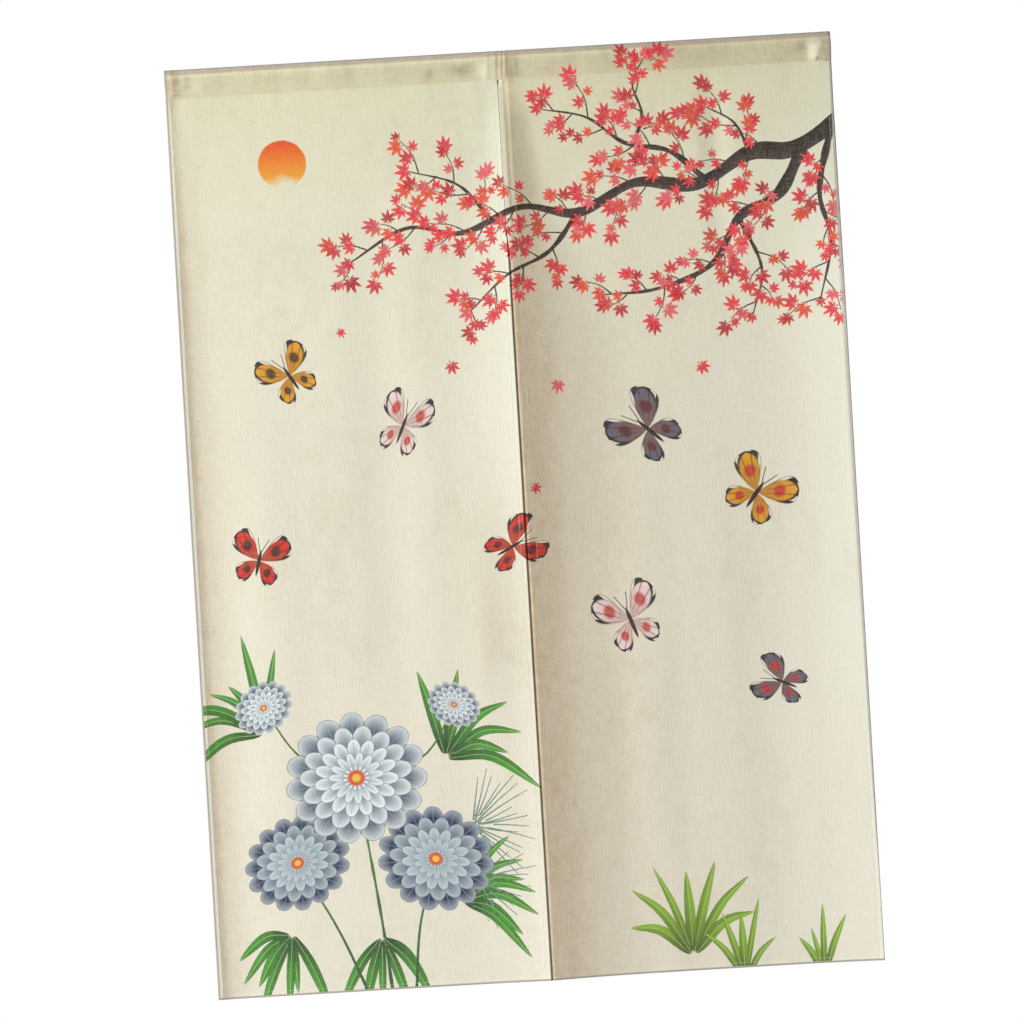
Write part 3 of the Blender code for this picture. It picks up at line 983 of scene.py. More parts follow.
MOTIF_LOOKS = {"stroke": stroke_on, "disc": disc_on, "bloom": bloom_on, "leaf": leaf_on, "wing": wing_on}


def weave(look, where):
    """Plain weave with thicker threads here and there: its height, and how much it tints the cloth."""
    x, _, z = look.parts(where)
    warp = (x * (2 * math.pi / THREAD_PITCH)).math("SINE")
    weft = (z * (2 * math.pi / THREAD_PITCH)).math("SINE")
    slub_up = look.speckle(where, (620, 40, 62), 1.0)
    slub_across = look.speckle(where, (62, 40, 620), 1.0)
    height = warp * weft * 0.16 + slub_up + slub_across
    return height, slub_up + slub_across


def printed_cloth(name, settings, slots, stops, stains, pale):
    """Cream linen-like cloth, printed on the front, with the print showing faintly on the back."""
    look = Look(name, settings.roughness, settings.sheen)
    where = look.add("ShaderNodeTexCoord", output="Object")
    _, _, z = look.parts(where)
    height, slubs = weave(look, where)
    ground = look.add("ShaderNodeValToRGB", {"stops": stops}, {0: z * (-1 / stops[-1][0])})
    wide = look.speckle(where, (6.5, 6.5, 5.5), 2.0, 0.6)
    small = look.speckle(where, (60, 60, 42), 3.0, 0.7)
    grain = look.speckle(where, (420, 420, 420), 1.0)
    patches = 0.20 + small * 0.9 + grain * 0.7
    worn = (wide * 1.5 + small * 1.1 - stains[0]).math("MULTIPLY", stains[1], clamp=True)
    # The pale, grey brown and warm brown tints carry painted highlights and painted shade as well as the cloth's own
    # pale patches, stains and soil
    paled_and_lit = look.mix(look.attribute("pale", "Fac"), ground, pale)
    dull = look.attribute("dull", "Fac") * patches + worn
    stained_and_shaded = look.mix(dull.math("MULTIPLY", 1.0, clamp=True), paled_and_lit, DULL_AND_SHADE_COLOUR)
    soil = look.attribute("soil", "Fac") * patches
    soiled_and_shaded = look.mix(soil.math("MULTIPLY", 1.0, clamp=True), stained_and_shaded, SOIL_AND_SHADE_COLOUR)
    threads = look.mix((slubs - 0.7).math("MULTIPLY", 0.40, clamp=True), soiled_and_shaded, (0.90, 0.86, 0.72, 1))
    colour = threads
    for kind, count in slots.items():
        for slot in range(count):
            colour = MOTIF_LOOKS[kind](look, colour, slot, grain)
    woven = look.mix((slubs - 0.72).math("MULTIPLY", 0.14, clamp=True), colour, soiled_and_shaded)
    reverse = look.attribute("reverse", "Fac")
    plain = look.mix((slubs - 0.7).math("MULTIPLY", 0.5, clamp=True), REVERSE_COLOUR, (0.74, 0.69, 0.60, 1))
    back = look.mix(GHOST, plain, woven)
    both = look.mix(reverse, woven, back)
    outlined = look.mix(look.attribute("outline", "Fac"), both, OUTLINE_COLOUR)
    return look.finish(outlined, height, settings.weave_strength, settings.weave_height)


def hem_stations(reach):
    """Offsets from a hemmed edge, close together at the fold and at the stitching."""
    offsets = (0, 0.0003, 0.0007, 0.0012, 0.002, 0.003, 0.004, 0.0048, 0.0055, 0.006, 0.0065, 0.007)
    return [*offsets, 0.0075, 0.008, 0.009, 0.0105, 0.0125, 0.015, 0.018, reach]


def even_stations(start, end, step):
    count = max(round(abs(end - start) / step), 1)
    return [start + (end - start) * i / count for i in range(1, count)]


HEM_REACH = 0.022
RIGHT_SLIT_COLUMNS = (
    -0.0045, -0.0035, -0.0026, -0.0020, -0.0017, -0.00148, -0.0013, -0.00115, -0.0010, -0.0006, 0.0, 0.0006, 0.0012,
    0.0018, 0.0024, 0.0030, 0.0036, 0.0042, 0.0048, 0.0055, 0.0063, 0.0070, 0.0077, 0.0085, 0.0093, 0.0101, 0.0109,
    0.0118, 0.0128, 0.0145, 0.0170, 0.0195,
)


def panel_columns(side, step):
    """The x of each column of a panel's mesh, from left to right."""
    if side == "left":
        outer = [-HALF_WIDTH + offset for offset in hem_stations(HEM_REACH)]
        inner = [LEFT_SLIT_X - offset for offset in reversed(hem_stations(HEM_REACH))]
        return outer + even_stations(outer[-1], inner[0], step) + inner
    inner = [RIGHT_SLIT_X, *RIGHT_SLIT_COLUMNS, HEM_REACH]
    outer = [HALF_WIDTH - offset for offset in reversed(hem_stations(HEM_REACH))]
    return inner + even_stations(inner[-1], outer[0], step) + outer


def panel_rows(step):
    """The z of each row of a panel's mesh, from the pocket's seam down to the bottom edge."""
    top = -POCKET_HEIGHT + SEAM_OVERLAP
    bottom = [-DROP + offset for offset in reversed(hem_stations(HEM_REACH))]
    return [top, top - 0.001, top - 0.0025, *even_stations(top - 0.0025, bottom[0], step), *bottom]


def new_piece(name, builder, material):
    """A mesh object from a bmesh, shaded smooth, at the origin."""
    mesh = bpy.data.meshes.new(name)
    builder.to_mesh(mesh)
    builder.free()
    mesh.shade_smooth()
    mesh.materials.append(material)
    piece = bpy.data.objects.new(name, mesh)
    bpy.context.scene.collection.objects.link(piece)
    return piece


def write_share(mesh, name, shares):
    """Stores a share from 0 to 1 for each corner of the mesh."""
    layer = mesh.attributes.new(name, "FLOAT", "CORNER")
    layer.data.foreach_set("value", np.ascontiguousarray(shares, np.float32).ravel())


# Places that differ from the cloth round them: middle x and z, half width, half height and strength
PATCH_COLUMNS = ("x", "z", "half_width", "half_height", "strength")
SOILED_AND_SHADED = (
    (-0.4198, -0.0042, 0.0017, 0.0024, 0.60),
    (-0.4194, -0.0160, 0.0019, 0.0150, 0.36),
    (-0.4233, -0.0440, 0.0022, 0.0090, 0.35),
    # This row is painted shade on the left panel beside the slit, half way down
    (-0.0450, -0.7000, 0.0550, 0.1400, 0.11),
)
DULL_AND_SHADED = (
    (-0.4198, -0.0042, 0.0017, 0.0024, 1.00),
    (-0.4190, -0.0180, 0.0022, 0.0170, 0.48),
    (-0.4140, -0.0160, 0.0042, 0.0080, 0.62),
    (-0.4262, -0.0230, 0.0026, 0.0120, 0.48),
    (-0.4120, -0.0290, 0.0050, 0.0070, 0.40),
    (-0.0455, -0.0225, 0.0100, 0.0055, 0.42),
    (-0.4238, -0.0235, 0.0011, 0.0048, 0.34),
    (-0.4000, -0.0129, 0.0042, 0.0034, 0.36),
    (-0.4010, -0.0233, 0.0032, 0.0018, 0.20),
    (-0.4171, -0.0284, 0.0016, 0.0016, 0.45),
    (-0.4199, -0.0338, 0.0032, 0.0018, 0.55),
    (-0.4158, -0.0340, 0.0017, 0.0012, 0.60),
    (-0.4134, -0.0322, 0.0016, 0.0012, 0.60),
    (-0.3400, -0.0130, 0.0220, 0.0060, 0.06),
    (-0.1950, -0.0220, 0.0080, 0.0060, 0.14),
    (-0.0895, -0.0255, 0.0070, 0.0085, 0.62),
    (-0.0535, -0.0225, 0.0085, 0.0065, 0.50),
    (-0.0375, -0.0180, 0.0065, 0.0055, 0.42),
    (-0.0420, -0.0300, 0.0100, 0.0050, 0.28),
    (0.0005, -0.0160, 0.0045, 0.0100, 0.32),
    (0.0165, -0.0170, 0.0090, 0.0120, 0.68),
    (0.0175, -0.0320, 0.0100, 0.0060, 0.68),
    (0.0650, -0.0250, 0.0180, 0.0110, 0.16),
    (0.1900, -0.0215, 0.0120, 0.0070, 0.20),
    (0.2350, -0.0180, 0.0110, 0.0120, 0.20),
    (0.2580, -0.0240, 0.0070, 0.0060, 0.14),
    (0.2620, -0.0820, 0.0200, 0.0300, 0.10),
    (0.3680, -0.0600, 0.0120, 0.0240, 0.08),
    (0.3700, -0.0200, 0.0130, 0.0110, 0.12),
    (0.3895, -0.0175, 0.0065, 0.0095, 0.52),
    # This row is painted shade in the shade right of the slit
    (0.1180, -0.6300, 0.0350, 0.0600, 0.10),
    # The rows below are painted shade at the pocket's right end: the dark pucker at the seam's end, shade on the end
    # fold and down its edge, and the dark mouth at its top corner
    (0.4121, -0.0349, 0.0022, 0.0017, 0.80),
    (0.4238, -0.0367, 0.0026, 0.0018, 0.95),
    (0.4215, -0.0280, 0.0040, 0.0060, 0.16),
    (0.4259, -0.0200, 0.0010, 0.0120, 0.26),
    (0.4279, -0.0042, 0.0011, 0.0024, 1.80),
)
PALE_AND_LIT = (
    (-0.4255, -0.0085, 0.0024, 0.0022, 0.40),
    (-0.3850, -0.0240, 0.0100, 0.0080, 0.25),
    (-0.0195, -0.0245, 0.0085, 0.0140, 0.85),
    # These three rows are a painted highlight on the pocket's end fold
    (0.4085, -0.0210, 0.0080, 0.0085, 0.85),
    (0.4150, -0.0130, 0.0055, 0.0050, 0.80),
    (0.4040, -0.0310, 0.0065, 0.0060, 0.70),
)

# Painted shade and wear along the left edge: a browner band beside the hem's rim and a warmer tint that fades away from
# it: away from the edge, half width and strength, then where it starts and ends and its strength at the top and further
# down
HEM_SOIL_AND_SHADE = (0.0105, 0.0055, 0.17)
HEM_FADE = (0.010, 0.062, 0.10, 0.20)
RIGHT_HEM_SOIL = (0.0030, 0.05)

# An even warm tint over the left panel, left off beside the upper half of the slit as a painted highlight
LEFT_SOIL = 0.05
LEFT_PAINTED_HIGHLIGHT = {"start": -0.090, "end": -0.020, "top_z": -0.50, "fades_over": 0.15}

# Painted shade right of the slit: a dark strip that widens downwards, a fainter one beyond it, and a weaker shade over
# the rest of the right panel, strongest at the top
SLIT_STRIP = {"start": (0.012, 0.026), "end": (0.034, 0.055), "over": 0.12, "wider_below": 0.020, "strength": 0.22}
SLIT_FAN = (0.45, 1.15, 0.11)
RIGHT_PAINTED_SHADE = {"start": 0.10, "end": 0.40, "strengths": (0.13, 0.01), "at_top": 0.10, "fades_over": 0.045}

# Painted shade on the right panel's edge beside the free slit, dimming the lit rise of its tuck
SLIT_EDGE_PAINTED_SHADE = (0.0025, 0.0021, 0.46)

# Beside the sewn join the painted shade is left off but for a faint band of it, and painted shade over the pocket's
# right half
JOIN_BAND = (-0.0006, 0.0045, 0.08)
POCKET_PAINTED_SHADE = (-0.02, 0.20, 0.17)

# Painted highlights beside the slit, on the left hem's rim and beside the right turned strip, painted light over the
# right panel's outer part, and a paler band above the bottom edge
SLIT_PAINTED_HIGHLIGHT = {"near": 0.007, "far": 0.040, "strengths": (0.26, 0.22), "from_z": -0.55, "to_z": -0.85, "left_over": 0.4}
RIM_PAINTED_HIGHLIGHT = (0.0046, 0.0024, 0.60)
STRIP_PAINTED_HIGHLIGHT = (0.0030, 0.0025, 0.35)
EAST_PAINTED_LIGHT = (0.33, 0.40, 0.28)
PALE_GROWS_OVER = 0.16
BOTTOM_PALE = (0.0052, 0.0022, 0.30)

# Painted shade: a thin greyish line along the folded cloth's edges
OUTLINES = {"left": 0.0032, "right": 0.0}
POCKET_OUTLINES = (0.0029, 0.0029)
BOTTOM_OUTLINE = 0.0028


def patches_at(table, x, z):
    """The sum of a table's soft patches at each point."""
    total = np.zeros_like(x)
    for row in table:
        patch = dict(zip(PATCH_COLUMNS, row))
        across = (x - patch["x"]) / patch["half_width"]
        along = (z - patch["z"]) / patch["half_height"]
        total += patch["strength"] * np.exp(-(across**2) - along**2)
    return total


def left_soil_and_shade(x, z):
    """Wear and painted shade along the left panel's outer hem, and an even tint over all of it but the cloth by the
    upper slit, which is left as a painted highlight.
    """
    away = HALF_WIDTH + x
    middle, half_width, strength = HEM_SOIL_AND_SHADE
    soil = strength * bell(away - middle, half_width)
    start, end, at_top, further_down = HEM_FADE
    soil += between((at_top, further_down), smooth(-z / 0.6)) * (1 - smooth((away - start) / (end - start)))
    soil *= smooth((away - 0.004) / 0.004) * between((0.15, 1.0), smooth(below_pocket(z) / 0.16))
    highlight_share = smooth((x - LEFT_PAINTED_HIGHLIGHT["start"]) / (LEFT_PAINTED_HIGHLIGHT["end"] - LEFT_PAINTED_HIGHLIGHT["start"]))
    highlight_share = highlight_share * (1 - smooth((LEFT_PAINTED_HIGHLIGHT["top_z"] - z) / LEFT_PAINTED_HIGHLIGHT["fades_over"]))
    return soil + LEFT_SOIL * (1 - highlight_share)


def right_soil_and_shade(x, z):
    """Painted shade over the right panel, strongest beside the slit, with a little tint along its outer edge and a
    faint band by the sewn join.
    """
    drop = below_pocket(z)
    widened = smooth(drop / SLIT_STRIP["over"])
    start = between(SLIT_STRIP["start"], widened)
    end = between(SLIT_STRIP["end"], widened) + SLIT_STRIP["wider_below"] * smooth(drop / 0.45)
    soil = SLIT_STRIP["strength"] * (1 - smooth((x - start) / (end - start)))
    reach = between(RIGHT_SLIT_REACH, smooth(drop / FAN_LENGTH))
    start, end, strength = SLIT_FAN
    soil += strength * (1 - smooth((x / reach - start) / (end - start))) * smooth(drop / FAN_LENGTH)
    share = smooth((x - RIGHT_PAINTED_SHADE["start"]) / (RIGHT_PAINTED_SHADE["end"] - RIGHT_PAINTED_SHADE["start"]))
    soil += between(RIGHT_PAINTED_SHADE["strengths"], share)
    at_top = smooth(x / 0.2) * (1 - 0.8 * smooth((x - 0.36) / 0.05))
    soil += RIGHT_PAINTED_SHADE["at_top"] * at_top * np.exp(-drop / RIGHT_PAINTED_SHADE["fades_over"])
    half_width, strength = RIGHT_HEM_SOIL
    soil += strength * bell(HALF_WIDTH - x, half_width)
    start, end, strength = JOIN_BAND
    sewn = 1 - slit_opened(z)
    soil = soil * (1 - sewn * (1 - smooth((x - end + 0.0015) / 0.0020)))
    return soil + strength * sewn * smooth((x - start) / 0.0008) * smooth((end - x) / 0.0014)


def soil_and_shade_at(side, x, z):
    """How much warm brown tint the cloth has, for soil and wear and for painted shade."""
    soil = patches_at(SOILED_AND_SHADED, x, z)
    if side != "pocket":
        soil += left_soil_and_shade(x, z) if side == "left" else right_soil_and_shade(x, z)
    return np.clip(soil, 0, 1)


def dull_and_shade_at(side, x, z):
    """How much grey brown tint the cloth has: dull stains, and painted shade beside the free slit, over the pocket's
    right half and at its right end.
    """
    dull = patches_at(DULL_AND_SHADED, x, z)
    if side == "right":
        middle, half_width, strength = SLIT_EDGE_PAINTED_SHADE
        dull += strength * slit_opened(z) * bell(x - middle, half_width)
    if side == "pocket":
        start, end, strength = POCKET_PAINTED_SHADE
        dull += strength * smooth((x - start) / (end - start)) * (0.35 + 0.65 * smooth(-z / 0.012))
    return np.clip(dull, 0, 1)


def pale_and_lit_at(side, x, z):
    """How much paler the cloth is drawn: pale patches, painted highlights beside the slit, on the left hem's rim,
    beside the right turned strip and on the pocket's end fold, painted light over the right panel's outer part, and a
    paler band above the bottom edge.
    """
    pale = patches_at(PALE_AND_LIT, x, z)
    if side == "left":
        away = np.maximum(LEFT_SLIT_X - x, 0.0)
        near, far = SLIT_PAINTED_HIGHLIGHT["strengths"]
        beside = near * bell(away, SLIT_PAINTED_HIGHLIGHT["near"]) + far * np.exp(-away / SLIT_PAINTED_HIGHLIGHT["far"])
        lower = smooth((SLIT_PAINTED_HIGHLIGHT["from_z"] - z) / (SLIT_PAINTED_HIGHLIGHT["from_z"] - SLIT_PAINTED_HIGHLIGHT["to_z"]))
        pale += beside * between((1.0, SLIT_PAINTED_HIGHLIGHT["left_over"]), lower)
        middle, half_width, strength = RIM_PAINTED_HIGHLIGHT
        pale += strength * bell(HALF_WIDTH + x - middle, half_width) * smooth(below_pocket(z) / PALE_GROWS_OVER)
    if side == "right":
        middle, half_width, strength = STRIP_PAINTED_HIGHLIGHT
        pale += strength * bell(HALF_WIDTH - x - turned_strip(x, z) - middle, half_width)
        start, end, strength = EAST_PAINTED_LIGHT
        fades = smooth(below_pocket(z) / 0.3) * (1 - smooth((-z - 0.75) / 0.3))
        pale += strength * smooth((x - start) / (end - start)) * fades
    middle, half_width, strength = BOTTOM_PALE
    return np.clip(pale + strength * bell(z + DROP - middle, half_width), 0, 1)


def outline_at(x, z, left_width, right_width):
    """Where the thin painted-shade line along the outer edges is."""
    left = smooth((left_width - (x + HALF_WIDTH)) / 0.0006)
    right = smooth((right_width - (HALF_WIDTH - x)) / 0.0006) * (z < -0.009)
    bottom = smooth((BOTTOM_OUTLINE - (z + DROP)) / 0.0006)
    return np.maximum(bottom, np.maximum(left * (left_width > 0), right * (right_width > 0)))


def corner_values(mesh, values):
    """Values of the vertices, repeated for the four corners of each face."""
    corners = np.empty(len(mesh.loops), np.int32)
    mesh.loops.foreach_get("vertex_index", corners)
    return values[corners].reshape(-1, 4)


def write_tints_and_painted_light(mesh, side, x, z, shown=1.0):
    """Stores the cloth's warm brown, grey brown and pale tints at each corner: soil, stains, painted shade and painted
    highlights.
    """
    for name, amount in (("soil", soil_and_shade_at), ("dull", dull_and_shade_at), ("pale", pale_and_lit_at)):
        write_share(mesh, name, corner_values(mesh, amount(side, x, z)) * shown)


def add_panel(side, settings, material):
    """One hemmed panel: a closed sheet whose front and back follow the way it hangs."""
    columns = np.array(panel_columns(side, settings.cell))
    rows = np.array(panel_rows(settings.cell))
    builder = bmesh.new()
    bmesh.ops.create_grid(builder, x_segments=len(columns) - 1, y_segments=len(rows) - 1, size=0.5)
    for point in builder.verts:
        column = round((point.co.x + 0.5) * (len(columns) - 1))
        row = round((0.5 - point.co.y) * (len(rows) - 1))
        point.co = (columns[column], 0.0, rows[row])
    front_points = len(builder.verts)
    bmesh.ops.extrude_face_region(builder, geom=builder.faces[:], use_keep_orig=True)
    builder.verts.index_update()
    piece = new_piece(f"{side}_cloth", builder, material)
    mesh = piece.data
    places = np.empty(len(mesh.vertices) * 3)
    mesh.vertices.foreach_get("co", places)
    places = places.reshape(-1, 3)
    x, z = places[:, 0].copy(), places[:, 2].copy()
    on_front = np.arange(len(x)) < front_points
    depth = front_depth(side, x, z)
    places[:, 0] += slit_shift(x, z)
    places[:, 1] = -depth + np.where(on_front, 0.0, thickness_at(side, x, z))
    mesh.vertices.foreach_set("co", places.ravel())
    mesh.update()
    turn_outwards(mesh)
    fronts = corner_values(mesh, on_front)
    printed = fronts.all(axis=1)
    reverse = np.where(printed[:, None], 0.0, 1.0) * np.ones((1, 4))
    if side == "right":
        edge = turned_strip(x, z) - (HALF_WIDTH - x)
        reverse = np.maximum(reverse, corner_values(mesh, smooth(edge / 0.0008)))
    write_share(mesh, "reverse", reverse)
    write_tints_and_painted_light(mesh, side, x, z)
    widths = OUTLINES["left"] if side == "left" else 0.0, OUTLINES["right"] if side == "right" else 0.0
    write_share(mesh, "outline", corner_values(mesh, outline_at(x, z, *widths)))
    return piece, Print(mesh, np.stack([x, z], axis=1), printed | ~fronts.any(axis=1), Print.PANEL)


def turn_outwards(mesh):
    builder = bmesh.new()
    builder.from_mesh(mesh)
    bmesh.ops.recalc_face_normals(builder, faces=builder.faces)
    builder.to_mesh(mesh)
    builder.free()


def declare_cloth(piece, node):
    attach(piece, "root")
    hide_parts(node)


# Pleats down the pocket where the two panels meet inside it: x, height and half width
CENTRE_PLEATS = (
    (-0.0150, 0.0003, 0.0030),
    (-0.0042, 0.0003, 0.0017),
    (0.0030, 0.0006, 0.0017),
    (0.0085, 0.0004, 0.0019),
    (0.0215, 0.0003, 0.0040),
)
PLEAT_LEAN = 0.05

# The right end is folded over a little: where the fold starts, its crest at the top and where it ends
END_FOLD = (0.3990, 0.4245, 0.430)
END_FOLD_LEAN = 0.42
END_FOLD_HEIGHT = 0.0030
END_FOLD_STAYS = 0.65
END_FOLD_TOP = 0.008
TOP_CREASE = (0.0060, 0.0009, 0.0005)


def pocket_fullness(x):
    """How full the pocket stands at each place along it, as a share of its plain depth."""
    waves = np.sin(2 * math.pi * POCKET_WAVES * x / WIDTH)
    return 1 + POCKET_END_SWELL * x / HALF_WIDTH + POCKET_WAVE_SWELL * waves


def pocket_outline(bottom, top, half_depth, seam_half_depth, half_sides):
    """Points round the pocket's section in the YZ plane: a round fold on top, stitched below."""
    fullest = bottom + (top - bottom) * POCKET_FULLEST_AT
    shares = (1 - np.cos(math.pi * np.arange(half_sides) / half_sides)) / 2
    z = bottom + (top - bottom) * shares
    up = np.clip((z - fullest) / (top - fullest), 0, 1)
    rounded = half_depth * np.sqrt(1 - up * up)
    flared = between((seam_half_depth, half_depth), smooth((z - bottom) / (fullest - bottom)))
    y = np.where(z > fullest, rounded, flared)
    front = list(zip(-y, z))
    return front + [(0.0, top)] + [(-y, z) for y, z in reversed(front)]


def pocket_relief(x, z):
    """Puckers and soft dents of the pocket's face, by how far towards the viewer they stand."""
    fade = np.sin(math.pi * np.clip(-z / POCKET_HEIGHT, 0, 1)) ** 0.5
    relief = np.zeros_like(x)
    for middle, height, half_width in CENTRE_PLEATS:
        relief += height * bell(x - middle - PLEAT_LEAN * (z + POCKET_HEIGHT), half_width)
    start, crest, end = END_FOLD
    crest = crest + END_FOLD_LEAN * z
    rising, falling = (x - start) / (crest - start), (end - x) / (end - crest)
    below_strip = smooth((-z - END_FOLD_TOP) / END_FOLD_TOP)
    falling = END_FOLD_STAYS + (1 - END_FOLD_STAYS) * falling
    relief += END_FOLD_HEIGHT * np.clip(np.minimum(rising, falling), 0, 1) * below_strip
    away, half_width, height = TOP_CREASE
    relief += height * bell(z + away, half_width)
    relief += 0.0008 * uneven(x, z, 0.030, 0.060, 5.5) + 0.0004 * uneven(x, z, 0.009, 0.030, 8.2)
    seam = np.exp(-(z + POCKET_HEIGHT) / 0.010)
    return relief * fade + SEAM_PUCKER * 0.7 * seam * uneven(x, z, SEAM_PUCKER_LENGTH, 0.2, 7.7)


def pocket_stations(step):
    """The x of each section of the pocket, close together at its pleats and its ends."""
    stations = [-HALF_WIDTH]
    for end, pitch in ((-0.398, 0.0018), (-0.024, step), (0.032, 0.0009), (0.396, step), (HALF_WIDTH, 0.0012)):
        stations += [*even_stations(stations[-1], end, pitch), end]
    return stations


def add_pocket(settings, material):
    """The rod pocket: a flattened tube, open at both ends, with a turned strip along its top."""
    bottom = -POCKET_HEIGHT
    outer = pocket_outline(bottom, 0.0, POCKET_HALF_DEPTH, CLOTH, settings.pocket_sides)
    inner = pocket_outline(
        bottom + POCKET_SEAM_DEPTH, -CLOTH, POCKET_HALF_DEPTH - CLOTH, POCKET_SEAM_HALF_GAP, settings.pocket_sides
    )
    builder = bmesh.new()
    loops = []
    for outline in (outer, inner):
        points = [builder.verts.new((-HALF_WIDTH, y, z)) for y, z in outline]
        loops += [builder.edges.new((a, b)) for a, b in zip(points, points[1:] + points[:1])]
    rim = bmesh.ops.bridge_loops(builder, edges=loops)["faces"]
    stations = pocket_stations(settings.cell)
    for before, here in zip(stations, stations[1:]):
        made = bmesh.ops.extrude_face_region(builder, geom=rim)["geom"]
        corners = [item for item in made if isinstance(item, bmesh.types.BMVert)]
        bmesh.ops.translate(builder, vec=(here - before, 0, 0), verts=corners)
        if before > stations[0]:
            bmesh.ops.delete(builder, geom=rim, context="FACES_ONLY")
        rim = [item for item in made if isinstance(item, bmesh.types.BMFace)]
    mark_outer_wall(builder, set(outer))
    bmesh.ops.recalc_face_normals(builder, faces=builder.faces)
    piece = new_piece("pocket_cloth", builder, material)
    mesh = piece.data
    places = np.empty(len(mesh.vertices) * 3)
    mesh.vertices.foreach_get("co", places)
    places = places.reshape(-1, 3)
    x, z = places[:, 0].copy(), places[:, 2].copy()
    ahead = places[:, 1] < 0
    places[:, 1] *= pocket_fullness(x)
    relief = pocket_relief(x, z)
    places[:, 1] -= np.where(ahead, relief, -0.6 * relief)
    mesh.vertices.foreach_set("co", places.ravel())
    mesh.update()
    flags = np.empty(len(mesh.polygons), np.int32)
    mesh.attributes["outer_wall"].data.foreach_get("value", flags)
    mesh.attributes.remove(mesh.attributes["outer_wall"])
    fronts = corner_values(mesh, places[:, 1] < 0.0005).all(axis=1) & (flags == 1)
    write_share(mesh, "reverse", np.where(fronts[:, None], 0.0, 1.0) * np.ones((1, 4)))
    write_tints_and_painted_light(mesh, "pocket", x, z, fronts[:, None])
    write_share(mesh, "outline", corner_values(mesh, outline_at(x, z, *POCKET_OUTLINES)))
    return piece, Print(mesh, np.stack([x, z], axis=1), fronts, Print.POCKET)


def mark_outer_wall(builder, outline):
    """Marks the faces of the pocket's outer wall with 1 and the others with 0."""
    outer = {(round(y, 6), round(z, 6)) for y, z in outline}
    layer = builder.faces.layers.int.new("outer_wall")
    for face in builder.faces:
        face[layer] = int(all((round(p.co.y, 6), round(p.co.z, 6)) in outer for p in face.verts))


def thread_look(settings):
    """Matte sewing thread, a little darker than the cloth, with its twist."""
    look = Look("sewing_thread", 0.8, 0.1)
    where = look.add("ShaderNodeTexCoord", output="Object")
    twist = look.speckle(where, (900, 900, 900), 2.0)
    colour = look.mix(twist, (*settings.thread_colour, 1), (0.80, 0.75, 0.60, 1))
    return look.finish(colour, twist, 0.4, 0.0002)


STITCH_PITCH = 0.0031
STITCH_LENGTH = 0.0022
STITCH_RADIUS = 0.00024


def stitch_row(start, end, place_on):
    """A row of stitches along X or Z, laid on a surface: one stitch, doubled until the row is full."""
    start, end = Vector(start), Vector(end)
    run = (end - start).length
    count = int(run / STITCH_PITCH)
    way = (end - start).normalized()
    builder = bmesh.new()
    bmesh.ops.create_cube(builder, size=1.0)
    bmesh.ops.bevel(
        builder, geom=builder.edges[:], offset=0.32, segments=1, affect="EDGES", profile=0.5, material=-1
    )
    along = Vector((abs(way.x), 0, abs(way.z)))
    scale = Vector((STITCH_RADIUS * 2,) * 3) + along * (STITCH_LENGTH - STITCH_RADIUS * 2)
    bmesh.ops.scale(builder, vec=scale, verts=builder.verts)
    made = 1
    while made < count:
        extra = min(made, count - made)
        share = builder.faces[: len(builder.faces) * extra // made]
        copied = bmesh.ops.duplicate(builder, geom=share)["geom"]
        moved = [item for item in copied if isinstance(item, bmesh.types.BMVert)]
        bmesh.ops.translate(builder, vec=way * STITCH_PITCH * made, verts=moved)
        made += extra
    bmesh.ops.translate(builder, vec=start + way * STITCH_PITCH / 2, verts=builder.verts)
    x = np.array([point.co.x for point in builder.verts])
    z = np.array([point.co.z for point in builder.verts])
    for point, aside, y in zip(builder.verts, slit_shift(x, z), place_on(x, z)):
        point.co.x += aside
        point.co.y += y
    return builder


def add_stitches(name, rows, material):
    """All the stitching of one piece as one mesh."""
    whole = bmesh.new()
    for start, end, place_on in rows:
        row = stitch_row(start, end, place_on)
        mesh = bpy.data.meshes.new("row")
        row.to_mesh(mesh)
        row.free()
        whole.from_mesh(mesh)
        bpy.data.meshes.remove(mesh)
    bmesh.ops.recalc_face_normals(whole, faces=whole.faces)
    return new_piece(name, whole, material)


def panel_surface(side, back):
    """The y of a panel's front or back at each point, for laying stitches on it."""

    def at(x, z):
        y = -front_depth(side, x, z)
        return y + thickness_at(side, x, z) if back else y

    return at


def panel_stitch_rows(side):
    """The hem stitching of a panel, on its front and back."""
    outward = -1 if side == "left" else 1
    outer_x = outward * (HALF_WIDTH - HEM_STITCH_AT)
    inner_x = slit_x(side) - HEM_STITCH_AT if side == "left" else slit_x(side) + 0.0183
    top, low = -POCKET_HEIGHT - 0.003, -DROP + HEM_STITCH_AT
    rows = []
    for back in (False, True):
        surface = panel_surface(side, back)
        rows += [
            ((outer_x, 0, top), (outer_x, 0, low), surface),
            ((inner_x, 0, top), (inner_x, 0, low), surface),
            ((min(outer_x, inner_x) + 0.002, 0, low), (max(outer_x, inner_x) - 0.002, 0, low), surface),
        ]
    return rows


def pocket_stitch_rows():
    """The seam across the bottom of the pocket, on its front and back."""
    seam_z = -POCKET_HEIGHT + 0.0016

    def at(sign):
        def surface(x, z):
            flare = between((CLOTH, POCKET_HALF_DEPTH), smooth((z + POCKET_HEIGHT) / (POCKET_HEIGHT * POCKET_FULLEST_AT)))
            relief = pocket_relief(x, z)
            return sign * (flare * pocket_fullness(x) + np.where(sign < 0, relief, 0.6 * relief))

        return surface

    ends = ((-HALF_WIDTH + 0.002, 0, seam_z), (HALF_WIDTH - 0.002, 0, seam_z))
    return [(*ends, at(-1)), (*ends, at(1))]


